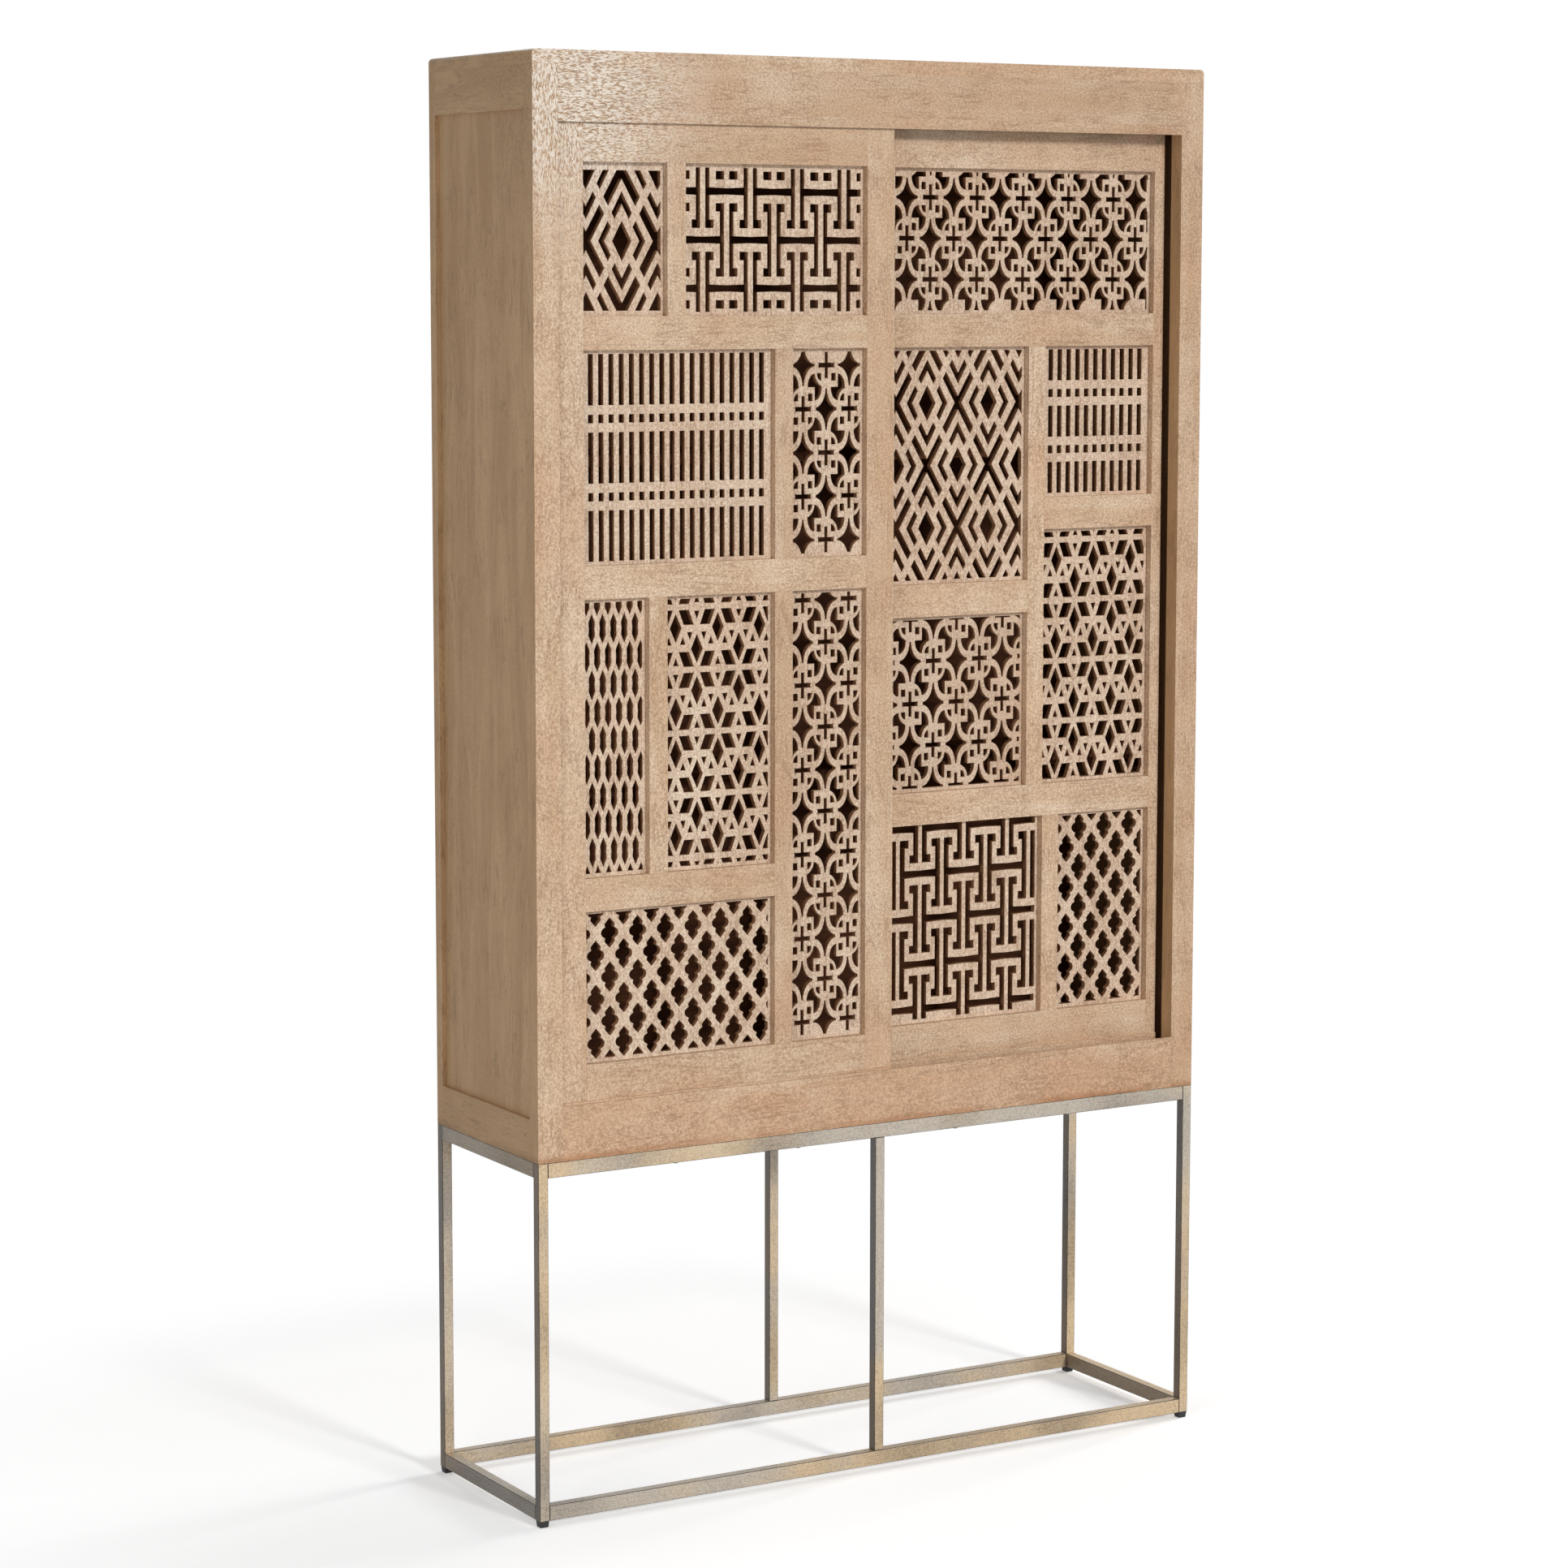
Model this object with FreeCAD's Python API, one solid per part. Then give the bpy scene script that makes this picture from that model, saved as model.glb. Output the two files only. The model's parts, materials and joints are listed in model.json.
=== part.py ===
import FreeCAD, Part
import math
import os

# China cabinet: a framed wooden case with two sliding doors of pierced fretwork, on a welded tube base.
# Millimetres, Z up, front towards -Y, origin on the floor under the middle of the case.

Vector = FreeCAD.Vector

# Overall size
case_width = 1090.0
case_depth = 313.0
overall_height = 2000.0
base_height = 507.5

# Tube base
tube_width = 15.0
tube_wall = 1.5
tube_rail_height = 21.0
glide_height = 9.0
glide_top_width = 14.0
glide_foot_width = 12.0
spigot_height = 12.0
spigot_clearance = 0.2

# Case frame
post_width = 38.0
front_post_depth = 25.0
rear_post_depth = 18.0
front_rail_thickness = 20.0
side_rail_thickness = 20.0
top_board_thickness = 19.0
top_board_radius = 6.5
front_top_rail_height = 61.0
front_bottom_rail_height = 61.5
side_top_rail_height = 59.0
side_bottom_rail_height = 57.5
side_panel_recess = 6.5
side_panel_thickness = 10.0
case_groove_depth = 8.0
case_tongue = 6.0
tenon_length = 20.0
tenon_thickness = 8.0
tenon_setback = 6.0
tenon_shoulder = 10.0
back_panel_thickness = 6.0
floor_thickness = 12.0
head_thickness = 12.0
head_depth = 52.0

# Shelves
shelf_thickness = 16.0
shelf_setback = 72.0
shelf_clearance = 0.5
lower_shelf_share = 0.325
upper_shelf_share = 0.66
cleat_width = 16.0
cleat_height = 16.0
cleat_setback = 10.0

# Lips and tracks
lip_height = 14.0
lip_thickness = 3.4
rib_thickness = 4.0
lower_rib_height = 6.0
upper_rib_height = 13.0
rib_side_clearance = 0.3
rib_end_clearance = 0.7
lift_clearance = 7.0
floor_clearance = 0.3

# Doors
door_thickness = 22.0
front_door_setback = 6.0
rear_door_setback = 34.5
runner_height = 16.7
runner_proud = 2.0
door_top_rail_height = 59.0
door_bottom_rail_height = 50.0
left_rail_height = 45.5
right_rail_height = 46.5
muntin_width = 28.5
panel_recess = 10.5
panel_thickness = 9.0
door_groove_depth = 8.0
panel_tongue = 6.0
left_door_gap = 0.5
left_outer_stile = 39.5
left_meeting_stile = 43.0
right_door_gap = 5.0
right_outer_stile = 17.0
right_meeting_stile = 43.0
door_overlap = 23.5
meeting_shift = 8.75

# Panel openings of the left door, as shares of its panel field
left_lozenge_share = 0.288
left_wave_share = 0.2216
left_ring_share = 0.2688
left_row_shares = (0.1891, 0.2668, 0.35)

# Panel openings of the right door, as shares of its panel field
right_column_share = 0.5112
right_fret_share = 0.5764
right_first_row_share = 0.1675
right_slat_share = 0.1778
right_lozenge_share = 0.275
right_lower_rail_share = 0.275

# Fretwork
plain_border = 5.0
kept_hole_share = 0.75
lozenge_half_width = 51.0
lozenge_half_height = 90.5
lozenge_core_share = 0.1425
lozenge_ring_shares = (0.23, 0.3325)
lozenge_cross_share = 0.435
lozenge_bar_share = 0.055
fret_pitch = 74.7
fret_row = 65.5
fret_slot_offset = 30.0
fret_slot_width = 6.5
fret_half_height = 48.0
fret_bar_height = 9.0
slat_pitch = 15.6
slat_slot_width = 7.0
slat_square = 11.3
slat_gap = 12.6
ring_half_width = 17.0
ring_half_height = 27.0
cross_half_width = 13.8
cross_half_height = 19.6
cross_waist_width = 6.0
cross_waist_height = 8.0
ring_column_narrow = 37.4
ring_column_wide = 39.2
ring_row_close = 57.4
ring_row_tall = 58.7
ring_row_open = 60.4
wave_pitch = 16.65
wave_row = 38.1
wave_half_height = 20.4
wave_half_width = 5.2
wave_drop = 3.5
star_pitch = 66.2
star_row = 86.5
star_hole_share = 0.74
foil_pitch = 42.6
foil_row = 29.4
foil_half_height = 23.0
foil_half_width = 11.4
left_foil_rise = 9.6
right_foil_rise = 3.5
right_foil_shift = 5.8

# Derived planes
front = -case_depth / 2
rear = case_depth / 2
side = case_width / 2
case_top = overall_height - top_board_thickness
floor_top = base_height + front_bottom_rail_height
head_bottom = case_top - front_top_rail_height
post_inner = side - post_width
panel_outer = side - side_panel_recess
panel_inner = panel_outer - side_panel_thickness
side_rail_inner = side - side_rail_thickness
front_post_back = front + front_post_depth
rear_post_front = rear - rear_post_depth
rail_back = front + front_rail_thickness
back_panel_front = rear_post_front - back_panel_thickness
door_bottom = floor_top + floor_clearance + runner_height
door_top = head_bottom - lift_clearance
field_bottom = door_bottom + door_bottom_rail_height
field_top = door_top - door_top_rail_height
field_height = field_top - field_bottom
left_door_edge = -post_inner + left_door_gap
left_field_width = meeting_shift + door_overlap / 2 - left_door_edge - left_outer_stile - left_meeting_stile
right_door_edge = meeting_shift - door_overlap / 2
right_field_width = post_inner - right_door_gap - right_door_edge - right_outer_stile - right_meeting_stile

os.makedirs("parts", exist_ok=True)


def save(name, shape):
    """Write one node."""
    shape.exportStep("parts/" + name + ".step")


def brick(x, y, z):
    """A block between two values on each axis."""
    return Part.makeBox(x[1] - x[0], y[1] - y[0], z[1] - z[0], Vector(x[0], y[0], z[0]))


def mirrored(pair, sign):
    """A pair of values on the side that the sign names, low value first."""
    return tuple(sorted((pair[0] * sign, pair[1] * sign)))


def about(middle, width):
    """The pair of values half a width to each side of a middle."""
    return (middle - width / 2, middle + width / 2)


def tube(ranges, axis):
    """A square tube along one axis, open at both ends."""
    inner = [(low + tube_wall, high - tube_wall) for low, high in ranges]
    inner[axis] = ranges[axis]
    return brick(*ranges).cut(brick(*inner))


def member(ranges, axis, thin, tenons, grooved, depth, tongue_length, across=None):
    """A frame member with grooved edges and a stub tenon on each end.

    ranges holds its three extents, axis its length, thin the extent of tenon and groove through the thickness,
    across the axis of its width, grooved the sides of that width that hold a panel (-1 low, 1 high).
    """
    thickness = next(i for i in range(len(ranges)) if i not in (axis, across))
    low, high = ranges[across]
    solid = brick(*ranges)
    tenon_low = low + (depth if -1 in grooved else 0)
    tenon_high = high - (depth if 1 in grooved else 0)
    ends = list(ranges)
    ends[thickness] = thin
    ends[across] = (tenon_low, tenon_high)
    start, stop = ranges[axis]
    for sign in tenons:
        ends[axis] = (start - tongue_length, start) if sign < 0 else (stop, stop + tongue_length)
        solid = solid.fuse(brick(*ends))
    slot = list(ranges)
    slot[thickness] = thin
    for sign in grooved:
        slot[across] = (low, low + depth) if sign < 0 else (high - depth, high)
        solid = solid.cut(brick(*slot))
    return solid.removeSplitter()


# Base of welded tube
def build_base():
    """Legs, uprights, the two rectangles of rails and the glides."""
    legs_z = (glide_height, base_height)
    low_z = (glide_height, glide_height + tube_rail_height)
    high_z = (base_height - tube_rail_height, base_height)
    front_y = (front, front + tube_width)
    rear_y = (rear - tube_width, rear)
    leg_x = (side - tube_width, side)
    names = {(-1, -1): "front_left_leg", (1, -1): "front_right_leg",
             (-1, 1): "rear_left_leg", (1, 1): "rear_right_leg"}
    glides = []
    for (sign_x, sign_y), name in names.items():
        leg_y = front_y if sign_y < 0 else rear_y
        save(name, tube([mirrored(leg_x, sign_x), leg_y, legs_z], 2))
        glides.append(glide(sign_x * (side - tube_width / 2), sign_y * (rear - tube_width / 2)))
    save("foot_glides", Part.makeCompound(glides))
    between_x = (-leg_x[0], leg_x[0])
    between_y = (front_y[1], rear_y[0])
    upright_z = (low_z[1], high_z[0])
    uprights = [tube([about(0, tube_width), y, upright_z], 2) for y in (front_y, rear_y)]
    save("middle_uprights", Part.makeCompound(uprights))
    for level, z in (("top", high_z), ("bottom", low_z)):
        save("base_" + level + "_front_rail", tube([between_x, front_y, z], 0))
        save("base_" + level + "_rear_rail", tube([between_x, rear_y, z], 0))
        short = [tube([mirrored(leg_x, sign), between_y, z], 1) for sign in (-1, 1)]
        save("base_" + level + "_side_rails", Part.makeCompound(short))


def square(x, y, width, z):
    """A closed square outline at one height."""
    half = width / 2
    corners = [(-half, -half), (half, -half), (half, half), (-half, half)]
    points = [Vector(x + dx, y + dy, z) for dx, dy in corners]
    return Part.makePolygon(points + points[:1])


def glide(x, y):
    """A tapered foot with a spigot that fills the leg tube."""
    foot = Part.makeLoft([square(x, y, glide_foot_width, 0), square(x, y, glide_top_width, glide_height)], True)
    spigot_width = tube_width - tube_wall * 2 - spigot_clearance * 2
    spigot_z = (glide_height, glide_height + spigot_height)
    return foot.fuse(brick(about(x, spigot_width), about(y, spigot_width), spigot_z)).removeSplitter()


# Case
def build_case():
    """Posts, rails, boards, panels, shelves, lips and tracks."""
    post_z = (base_height, case_top)
    groove_x = (panel_inner, panel_outer)
    post_x = (post_inner, side)
    rail_x = (-post_inner, post_inner)
    top_z = (head_bottom, case_top)
    bottom_z = (base_height, floor_top)
    tenons = {}
    for place, y, tenon_y in (("front", (front, rail_back), front + tenon_setback),
                              ("rear", (rear_post_front, rear), rear - tenon_setback - tenon_thickness)):
        tenons[place] = []
        for level, z in (("top", top_z), ("bottom", bottom_z)):
            long_tenon = brick((-post_inner - tenon_length, post_inner + tenon_length),
                               (tenon_y, tenon_y + tenon_thickness),
                               (z[0] + tenon_shoulder, z[1] - tenon_shoulder))
            tenons[place].append(long_tenon)
            save(place + "_" + level + "_rail", brick(rail_x, y, z).fuse(long_tenon).removeSplitter())
    for place, y, groove_y in (("front", (front, front_post_back),
                                (front_post_back - case_groove_depth, front_post_back)),
                               ("rear", (rear_post_front, rear),
                                (rear_post_front, rear_post_front + case_groove_depth))):
        for hand, sign in (("left", -1), ("right", 1)):
            post = brick(mirrored(post_x, sign), y, post_z)
            post = post.cut(brick(mirrored(groove_x, sign), groove_y, post_z))
            save(place + "_" + hand + "_post", post.cut(Part.makeCompound(tenons[place])))
    between_y = (front_post_back, rear_post_front)
    side_top_z = (case_top - side_top_rail_height, case_top)
    side_bottom_z = (base_height, base_height + side_bottom_rail_height)
    panel_y = (between_y[0] - case_tongue, between_y[1] + case_tongue)
    panel_z = (side_bottom_z[1] - case_tongue, side_top_z[0] + case_tongue)
    for hand, sign in (("left", -1), ("right", 1)):
        x = mirrored((side_rail_inner, side), sign)
        thin = mirrored(groove_x, sign)
        pair = [member([x, between_y, z], 1, thin, (-1, 1), (edge,), case_groove_depth, case_groove_depth, 2)
                for z, edge in ((side_top_z, -1), (side_bottom_z, 1))]
        save(hand + "_side_rails", Part.makeCompound(pair))
        save(hand + "_side_panel", brick(thin, panel_y, panel_z))
    top_board = brick((-side, side), (front, rear), (case_top, overall_height))
    middle_z = case_top + top_board_thickness / 2
    ends = [edge for edge in top_board.Edges
            if edge.CenterOfMass.z > middle_z and abs(edge.CenterOfMass.x) > post_inner]
    save("top_board", top_board.makeFillet(top_board_radius, ends))
    board_x = (-side_rail_inner, side_rail_inner)
    corners = [brick(mirrored(post_x, sign), (front, front_post_back), post_z) for sign in (-1, 1)]
    floor_z = (floor_top - floor_thickness, floor_top)
    head_z = (head_bottom, head_bottom + head_thickness)
    save("floor_board", brick(board_x, (rail_back, rear_post_front), floor_z).cut(Part.makeCompound(corners)))
    save("head_board", brick(board_x, (rail_back, rail_back + head_depth), head_z).cut(Part.makeCompound(corners)))
    save("back_panel", brick(board_x, (back_panel_front, rear_post_front), (floor_top, case_top)))
    build_shelves()
    build_tracks(rail_x, board_x)


def build_shelves():
    """Two shelves on cleats along the side panels."""
    shelf_x = (-panel_inner + shelf_clearance, panel_inner - shelf_clearance)
    shelf_y = (front + shelf_setback, back_panel_front)
    cleat_y = (shelf_y[0] + cleat_setback, shelf_y[1] - cleat_setback)
    cleats = []
    for name, share in (("lower_shelf", lower_shelf_share), ("upper_shelf", upper_shelf_share)):
        top = floor_top + (head_bottom - floor_top) * share
        under = top - shelf_thickness
        save(name, brick(shelf_x, shelf_y, (under, top)))
        for sign in (-1, 1):
            cleat_x = mirrored((panel_inner - cleat_width, panel_inner), sign)
            cleats.append(brick(cleat_x, cleat_y, (under - cleat_height, under)))
    save("shelf_cleats", Part.makeCompound(cleats))


def build_tracks(rail_x, board_x):
    """Lips in front of the doors and the ribs that the doors ride on."""
    lip_y = (front, front + lip_thickness)
    save("upper_lip", brick(rail_x, lip_y, (head_bottom - lip_height, head_bottom)))
    save("lower_lip", brick(rail_x, lip_y, (floor_top, floor_top + lip_height)))
    lower = []
    upper = []
    for setback, x in ((front_door_setback, rail_x), (rear_door_setback, board_x)):
        y = about(front + setback + door_thickness / 2, rib_thickness)
        lower.append(brick(x, y, (floor_top, floor_top + lower_rib_height)))
        upper.append(brick(x, y, (head_bottom - upper_rib_height, head_bottom)))
    save("lower_track_ribs", Part.makeCompound(lower))
    save("upper_track_ribs", Part.makeCompound(upper))


# Fretwork: each motif gives its openings as closed outlines about the middle of the panel
def rectangle(u, v, width, height):
    """A rectangle about a point."""
    return [(u - width / 2, v - height / 2), (u + width / 2, v - height / 2),
            (u + width / 2, v + height / 2), (u - width / 2, v + height / 2)]


def centred_lattice(width, height, pitch, row, rise, shift):
    """Points in rows, every other row moved by half a pitch."""
    rows = math.ceil(height / row)
    columns = math.ceil(width / pitch)
    for j in range(-rows, rows + 1):
        offset = shift + (pitch / 2 if j % 2 else 0)
        for i in range(-columns, columns + 1):
            yield offset + i * pitch, rise + j * row


def lozenge_holes(width, height):
    """Concentric lozenges crossed by their own diagonals."""
    inner, outer = lozenge_ring_shares
    bar = lozenge_bar_share
    core = lozenge_core_share
    edge = lozenge_cross_share
    far = 1 - edge
    end = 1 - bar
    middle = [(-core, -core), (core, -core), (core, core), (-core, core)]
    chevron = [(bar, outer), (outer, outer), (outer, bar), (inner, bar), (inner, inner), (bar, inner)]
    cross = [(edge, bar), (far, bar), (far, edge), (end, edge), (end, far), (far, far),
             (far, end), (edge, end), (edge, far), (bar, far), (bar, edge), (edge, edge)]
    shapes = [middle, cross]
    for sign_s in (-1, 1):
        for sign_t in (-1, 1):
            shapes.append([(s * sign_s, t * sign_t) for s, t in chevron])
    for u, v in centred_lattice(width, height, lozenge_half_width * 2, lozenge_half_height, 0, 0):
        for shape in shapes:
            yield [(u + (s + t) * lozenge_half_width, v + (s - t) * lozenge_half_height) for s, t in shape]


def fret_holes(width, height, start):
    """H-shaped slots, every other row moved by half a pitch."""
    outside = fret_slot_offset + fret_slot_width / 2
    inside = fret_slot_offset - fret_slot_width / 2
    top = fret_half_height
    bar = fret_bar_height / 2
    upper = [(outside, top), (inside, top), (inside, bar), (-inside, bar), (-inside, top), (-outside, top)]
    shape = upper + [(-x, -z) for x, z in upper]
    for u, v in centred_lattice(width, height, fret_pitch, fret_row, 0, start * fret_pitch):
        yield [(u + x, v + z) for x, z in shape]


def slat_holes(width, height):
    """Three rows of tall slots with a plain band between them for the small squares."""
    columns = int((width - plain_border * 2) // slat_pitch)
    rows = 3
    bands = rows - 1
    field = height - plain_border * 2
    slot = (field - bands * (slat_square + slat_gap * 2)) / rows
    step = slot + slat_square + slat_gap * 2
    for i in range(columns):
        u = (i - (columns - 1) / 2) * slat_pitch
        for j in range(rows):
            yield rectangle(u, (j - bands / 2) * step, slat_slot_width, slot)


def ring_holes(width, height, column, row, start):
    """Four-pointed stars between rings, in turn with crosses inside the rings."""
    star = [(ring_half_width, 0), (0, ring_half_height), (-ring_half_width, 0), (0, -ring_half_height)]
    waist_x = cross_waist_width / 2
    waist_z = cross_waist_height / 2
    cross = [(cross_half_width, 0), (waist_x, waist_z), (0, cross_half_height), (-waist_x, waist_z)]
    cross = cross + [(-a, -b) for a, b in cross]
    for shape, turn in ((star, start), (cross, start + 1)):
        for u, v in centred_lattice(width, height, column * 2, row, 0, turn * column):
            yield [(u + a, v + b) for a, b in shape]


def wave_holes(width, height):
    """Upright lens-shaped openings that interleave."""
    shape = [(wave_half_width, 0), (0, wave_half_height), (-wave_half_width, 0), (0, -wave_half_height)]
    for u, v in centred_lattice(width, height, wave_pitch, wave_row, -wave_drop, 0):
        yield [(u + x, v + z) for x, z in shape]


def star_holes(width, height):
    """Six rhombs about each star, all on one triangular grid of strips."""
    step = star_pitch / 3
    rise = star_row / 3
    turns = [(step, 0), (step / 2, rise), (-step / 2, rise), (-step, 0), (-step / 2, -rise), (step / 2, -rise)]
    for u, v in centred_lattice(width, height, star_pitch, star_row, 0, 0):
        for first, second in zip(turns, turns[1:] + turns[:1]):
            middle = ((first[0] + second[0]) / 2, (first[1] + second[1]) / 2)
            corners = [(0, 0), first, (middle[0] * 2, middle[1] * 2), second]
            yield [(u + middle[0] + (x - middle[0]) * star_hole_share,
                    v + middle[1] + (z - middle[1]) * star_hole_share) for x, z in corners]


def foil_holes(width, height, rise, shift):
    """Upright four-lobed openings on a centred lattice."""
    shape = [(foil_half_width, 0), (0, foil_half_height), (-foil_half_width, 0), (0, -foil_half_height)]
    for u, v in centred_lattice(width, height, foil_pitch, foil_row, rise, shift):
        yield [(u + x, v + z) for x, z in shape]


def pierced_panel(x, z, y, holes):
    """One plate with every opening that the plain border leaves, cut as one holed face."""
    middle_x = sum(x) / 2
    middle_z = sum(z) / 2

    def outline(points):
        corners = [Vector(middle_x + u, y[0], middle_z + v) for u, v in points]
        return Part.makePolygon(corners + corners[:1])

    width = x[1] - x[0]
    height = z[1] - z[0]
    half_u = width / 2 - plain_border
    half_v = height / 2 - plain_border
    plate = rectangle(0, 0, width + panel_tongue * 2, height + panel_tongue * 2)
    field = Part.Face(outline(rectangle(0, 0, half_u * 2, half_v * 2)))
    wires = [outline(plate)]
    for points in holes:
        inside_u = [abs(u) <= half_u for u, v in points]
        inside_v = [abs(v) <= half_v for u, v in points]
        if all(inside_u) and all(inside_v):
            wires.append(outline(points))
        elif any(inside_u) and any(inside_v):
            whole = Part.Face(outline(points))
            cut = whole.common(field)
            if cut.Area >= whole.Area * kept_hole_share:
                wires.extend(face.removeSplitter().Faces[0].OuterWire for face in cut.Faces)
    face = Part.makeFace(wires, "Part::FaceMakerBullseye")
    return face.extrude(Vector(0, y[1] - y[0], 0))


# Doors
def build_door(name, left, setback, stiles, field_width, rails, muntins, panels):
    """A door of grooved members with stub tenons around its panels, on a grooved runner.

    left is the left edge, stiles the widths of the left and right stile, rails (x, z, grooved sides),
    muntins (x, z) and panels (node, x, z, openings), all from the lower left corner of the panel field.
    """
    y = (front + setback, front + setback + door_thickness)
    thin = (y[0] + panel_recess, y[0] + panel_recess + panel_thickness)
    base_x = left + stiles[0]
    right = base_x + field_width + stiles[1]
    door_z = (door_bottom, door_top)
    rib_y = about((y[0] + y[1]) / 2, rib_thickness + rib_side_clearance * 2)
    rib_top = door_top - (upper_rib_height - lift_clearance) - rib_end_clearance
    groove = brick((left, right), rib_y, (rib_top, door_top))

    def place(pair, start):
        return (pair[0] + start, pair[1] + start)

    for label, x, edge in (("left", (left, base_x), 1), ("right", (base_x + field_width, right), -1)):
        stile = member([x, y, door_z], 2, thin, (), (edge,), door_groove_depth, door_groove_depth, 0)
        save(name + "_" + label + "_stile", stile.cut(groove))
    solids = []
    for x, z, grooved in rails:
        extents = [place(x, base_x), y, place(z, field_bottom)]
        rail = member(extents, 0, thin, (-1, 1), grooved, door_groove_depth, door_groove_depth, 2)
        solids.append(rail.cut(groove) if extents[2][1] > rib_top else rail)
    save(name + "_rails", Part.makeCompound(solids))
    solids = []
    for x, z in muntins:
        extents = [place(x, base_x), y, place(z, field_bottom)]
        solids.append(member(extents, 2, thin, (-1, 1), (-1, 1), door_groove_depth, door_groove_depth, 0))
    save(name + "_muntins", Part.makeCompound(solids))
    runner_z = (door_bottom - runner_height, door_bottom)
    runner = brick((left, right), (y[0] - runner_proud, y[1]), runner_z)
    slot_top = floor_top + lower_rib_height + rib_end_clearance
    save(name + "_runner", runner.cut(brick((left, right), rib_y, (runner_z[0], slot_top))))
    for node, x, z, holes in panels:
        width = x[1] - x[0]
        height = z[1] - z[0]
        save(node, pierced_panel(place(x, base_x), place(z, field_bottom), thin, holes(width, height)))


def build_left_door():
    """The front door: eight panels."""
    full = (0, left_field_width)
    height = field_height
    open_height = height - left_rail_height * len(left_row_shares)
    first, second, third = [open_height * share for share in left_row_shares]
    row1 = (height - first, height)
    row2_top = row1[0] - left_rail_height
    row2 = (row2_top - second, row2_top)
    row3_top = row2[0] - left_rail_height
    row3 = (row3_top - third, row3_top)
    row4 = (0, row3[0] - left_rail_height)
    ring_x = (left_field_width * (1 - left_ring_share), left_field_width)
    broad_x = (0, ring_x[0] - muntin_width)
    lozenge_x = (0, left_field_width * left_lozenge_share)
    fret_x = (lozenge_x[1] + muntin_width, left_field_width)
    wave_x = (0, left_field_width * left_wave_share)
    star_x = (wave_x[1] + muntin_width, broad_x[1])
    tall = (0, row3_top)
    rails = [
        (full, (height, height + door_top_rail_height), (-1,)),
        (full, (row2_top, row1[0]), (-1, 1)),
        (full, (row3_top, row2[0]), (-1, 1)),
        (broad_x, (row4[1], row3[0]), (-1, 1)),
        (full, (-door_bottom_rail_height, 0), (1,)),
    ]
    muntins = [
        ((lozenge_x[1], fret_x[0]), row1),
        ((broad_x[1], ring_x[0]), row2),
        ((wave_x[1], star_x[0]), row3),
        ((broad_x[1], ring_x[0]), tall),
    ]
    panels = [
        ("left_lozenge_panel", lozenge_x, row1, lozenge_holes),
        ("left_fret_panel", fret_x, row1, lambda w, h: fret_holes(w, h, 1 / 2)),
        ("left_slat_panel", broad_x, row2, slat_holes),
        ("left_short_ring_panel", ring_x, row2,
         lambda w, h: ring_holes(w, h, ring_column_narrow, ring_row_open, 1)),
        ("left_wave_panel", wave_x, row3, wave_holes),
        ("left_star_panel", star_x, row3, star_holes),
        ("left_tall_ring_panel", ring_x, tall,
         lambda w, h: ring_holes(w, h, ring_column_narrow, ring_row_tall, 1)),
        ("left_foil_panel", broad_x, row4, lambda w, h: foil_holes(w, h, left_foil_rise, foil_pitch / 2)),
    ]
    build_door("left_door", left_door_edge, front_door_setback, (left_outer_stile, left_meeting_stile),
               left_field_width, rails, muntins, panels)


def build_right_door():
    """The rear door: seven panels."""
    full = (0, right_field_width)
    height = field_height
    row1 = (height * (1 - right_first_row_share), height)
    row2_top = row1[0] - right_rail_height
    lozenge_z = (row2_top - height * right_lozenge_share, row2_top)
    slat_z = (row2_top - height * right_slat_share, row2_top)
    low_rail_top = height * right_lower_rail_share
    row4 = (0, low_rail_top - right_rail_height)
    ring_z = (low_rail_top, lozenge_z[0] - right_rail_height)
    star_z = (low_rail_top, slat_z[0] - right_rail_height)
    wide_x = (0, right_field_width * right_column_share)
    slim_x = (wide_x[1] + muntin_width, right_field_width)
    fret_x = (0, right_field_width * right_fret_share)
    foil_x = (fret_x[1] + muntin_width, right_field_width)
    rails = [
        (full, (height, height + door_top_rail_height), (-1,)),
        (full, (row2_top, row1[0]), (-1, 1)),
        (wide_x, (ring_z[1], lozenge_z[0]), (-1, 1)),
        (slim_x, (star_z[1], slat_z[0]), (-1, 1)),
        (full, (row4[1], low_rail_top), (-1, 1)),
        (full, (-door_bottom_rail_height, 0), (1,)),
    ]
    muntins = [
        ((wide_x[1], slim_x[0]), (low_rail_top, row2_top)),
        ((fret_x[1], foil_x[0]), row4),
    ]
    panels = [
        ("right_wide_ring_panel", full, row1,
         lambda w, h: ring_holes(w, h, ring_column_wide, ring_row_close, 0)),
        ("right_lozenge_panel", wide_x, lozenge_z, lozenge_holes),
        ("right_slat_panel", slim_x, slat_z, slat_holes),
        ("right_star_panel", slim_x, star_z, star_holes),
        ("right_square_ring_panel", wide_x, ring_z,
         lambda w, h: ring_holes(w, h, ring_column_wide, ring_row_open, 1)),
        ("right_fret_panel", fret_x, row4, lambda w, h: fret_holes(w, h, 1 / 2)),
        ("right_foil_panel", foil_x, row4, lambda w, h: foil_holes(w, h, right_foil_rise, right_foil_shift)),
    ]
    build_door("right_door", right_door_edge, rear_door_setback, (right_meeting_stile, right_outer_stile),
               right_field_width, rails, muntins, panels)


build_base()
build_case()
build_left_door()
build_right_door()
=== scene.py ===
"""Looks of a washed wood cabinet: eased timber, pierced panels, a tube base and a plain studio."""

from __future__ import annotations

import json
import logging
import math
import random
from collections.abc import Iterator
from dataclasses import dataclass
from enum import Enum
from typing import Any, Union

import bmesh
import bpy
from bpy.types import Material, Mesh, NodeSocket, Object
from mathutils import Matrix, Vector, geometry

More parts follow.
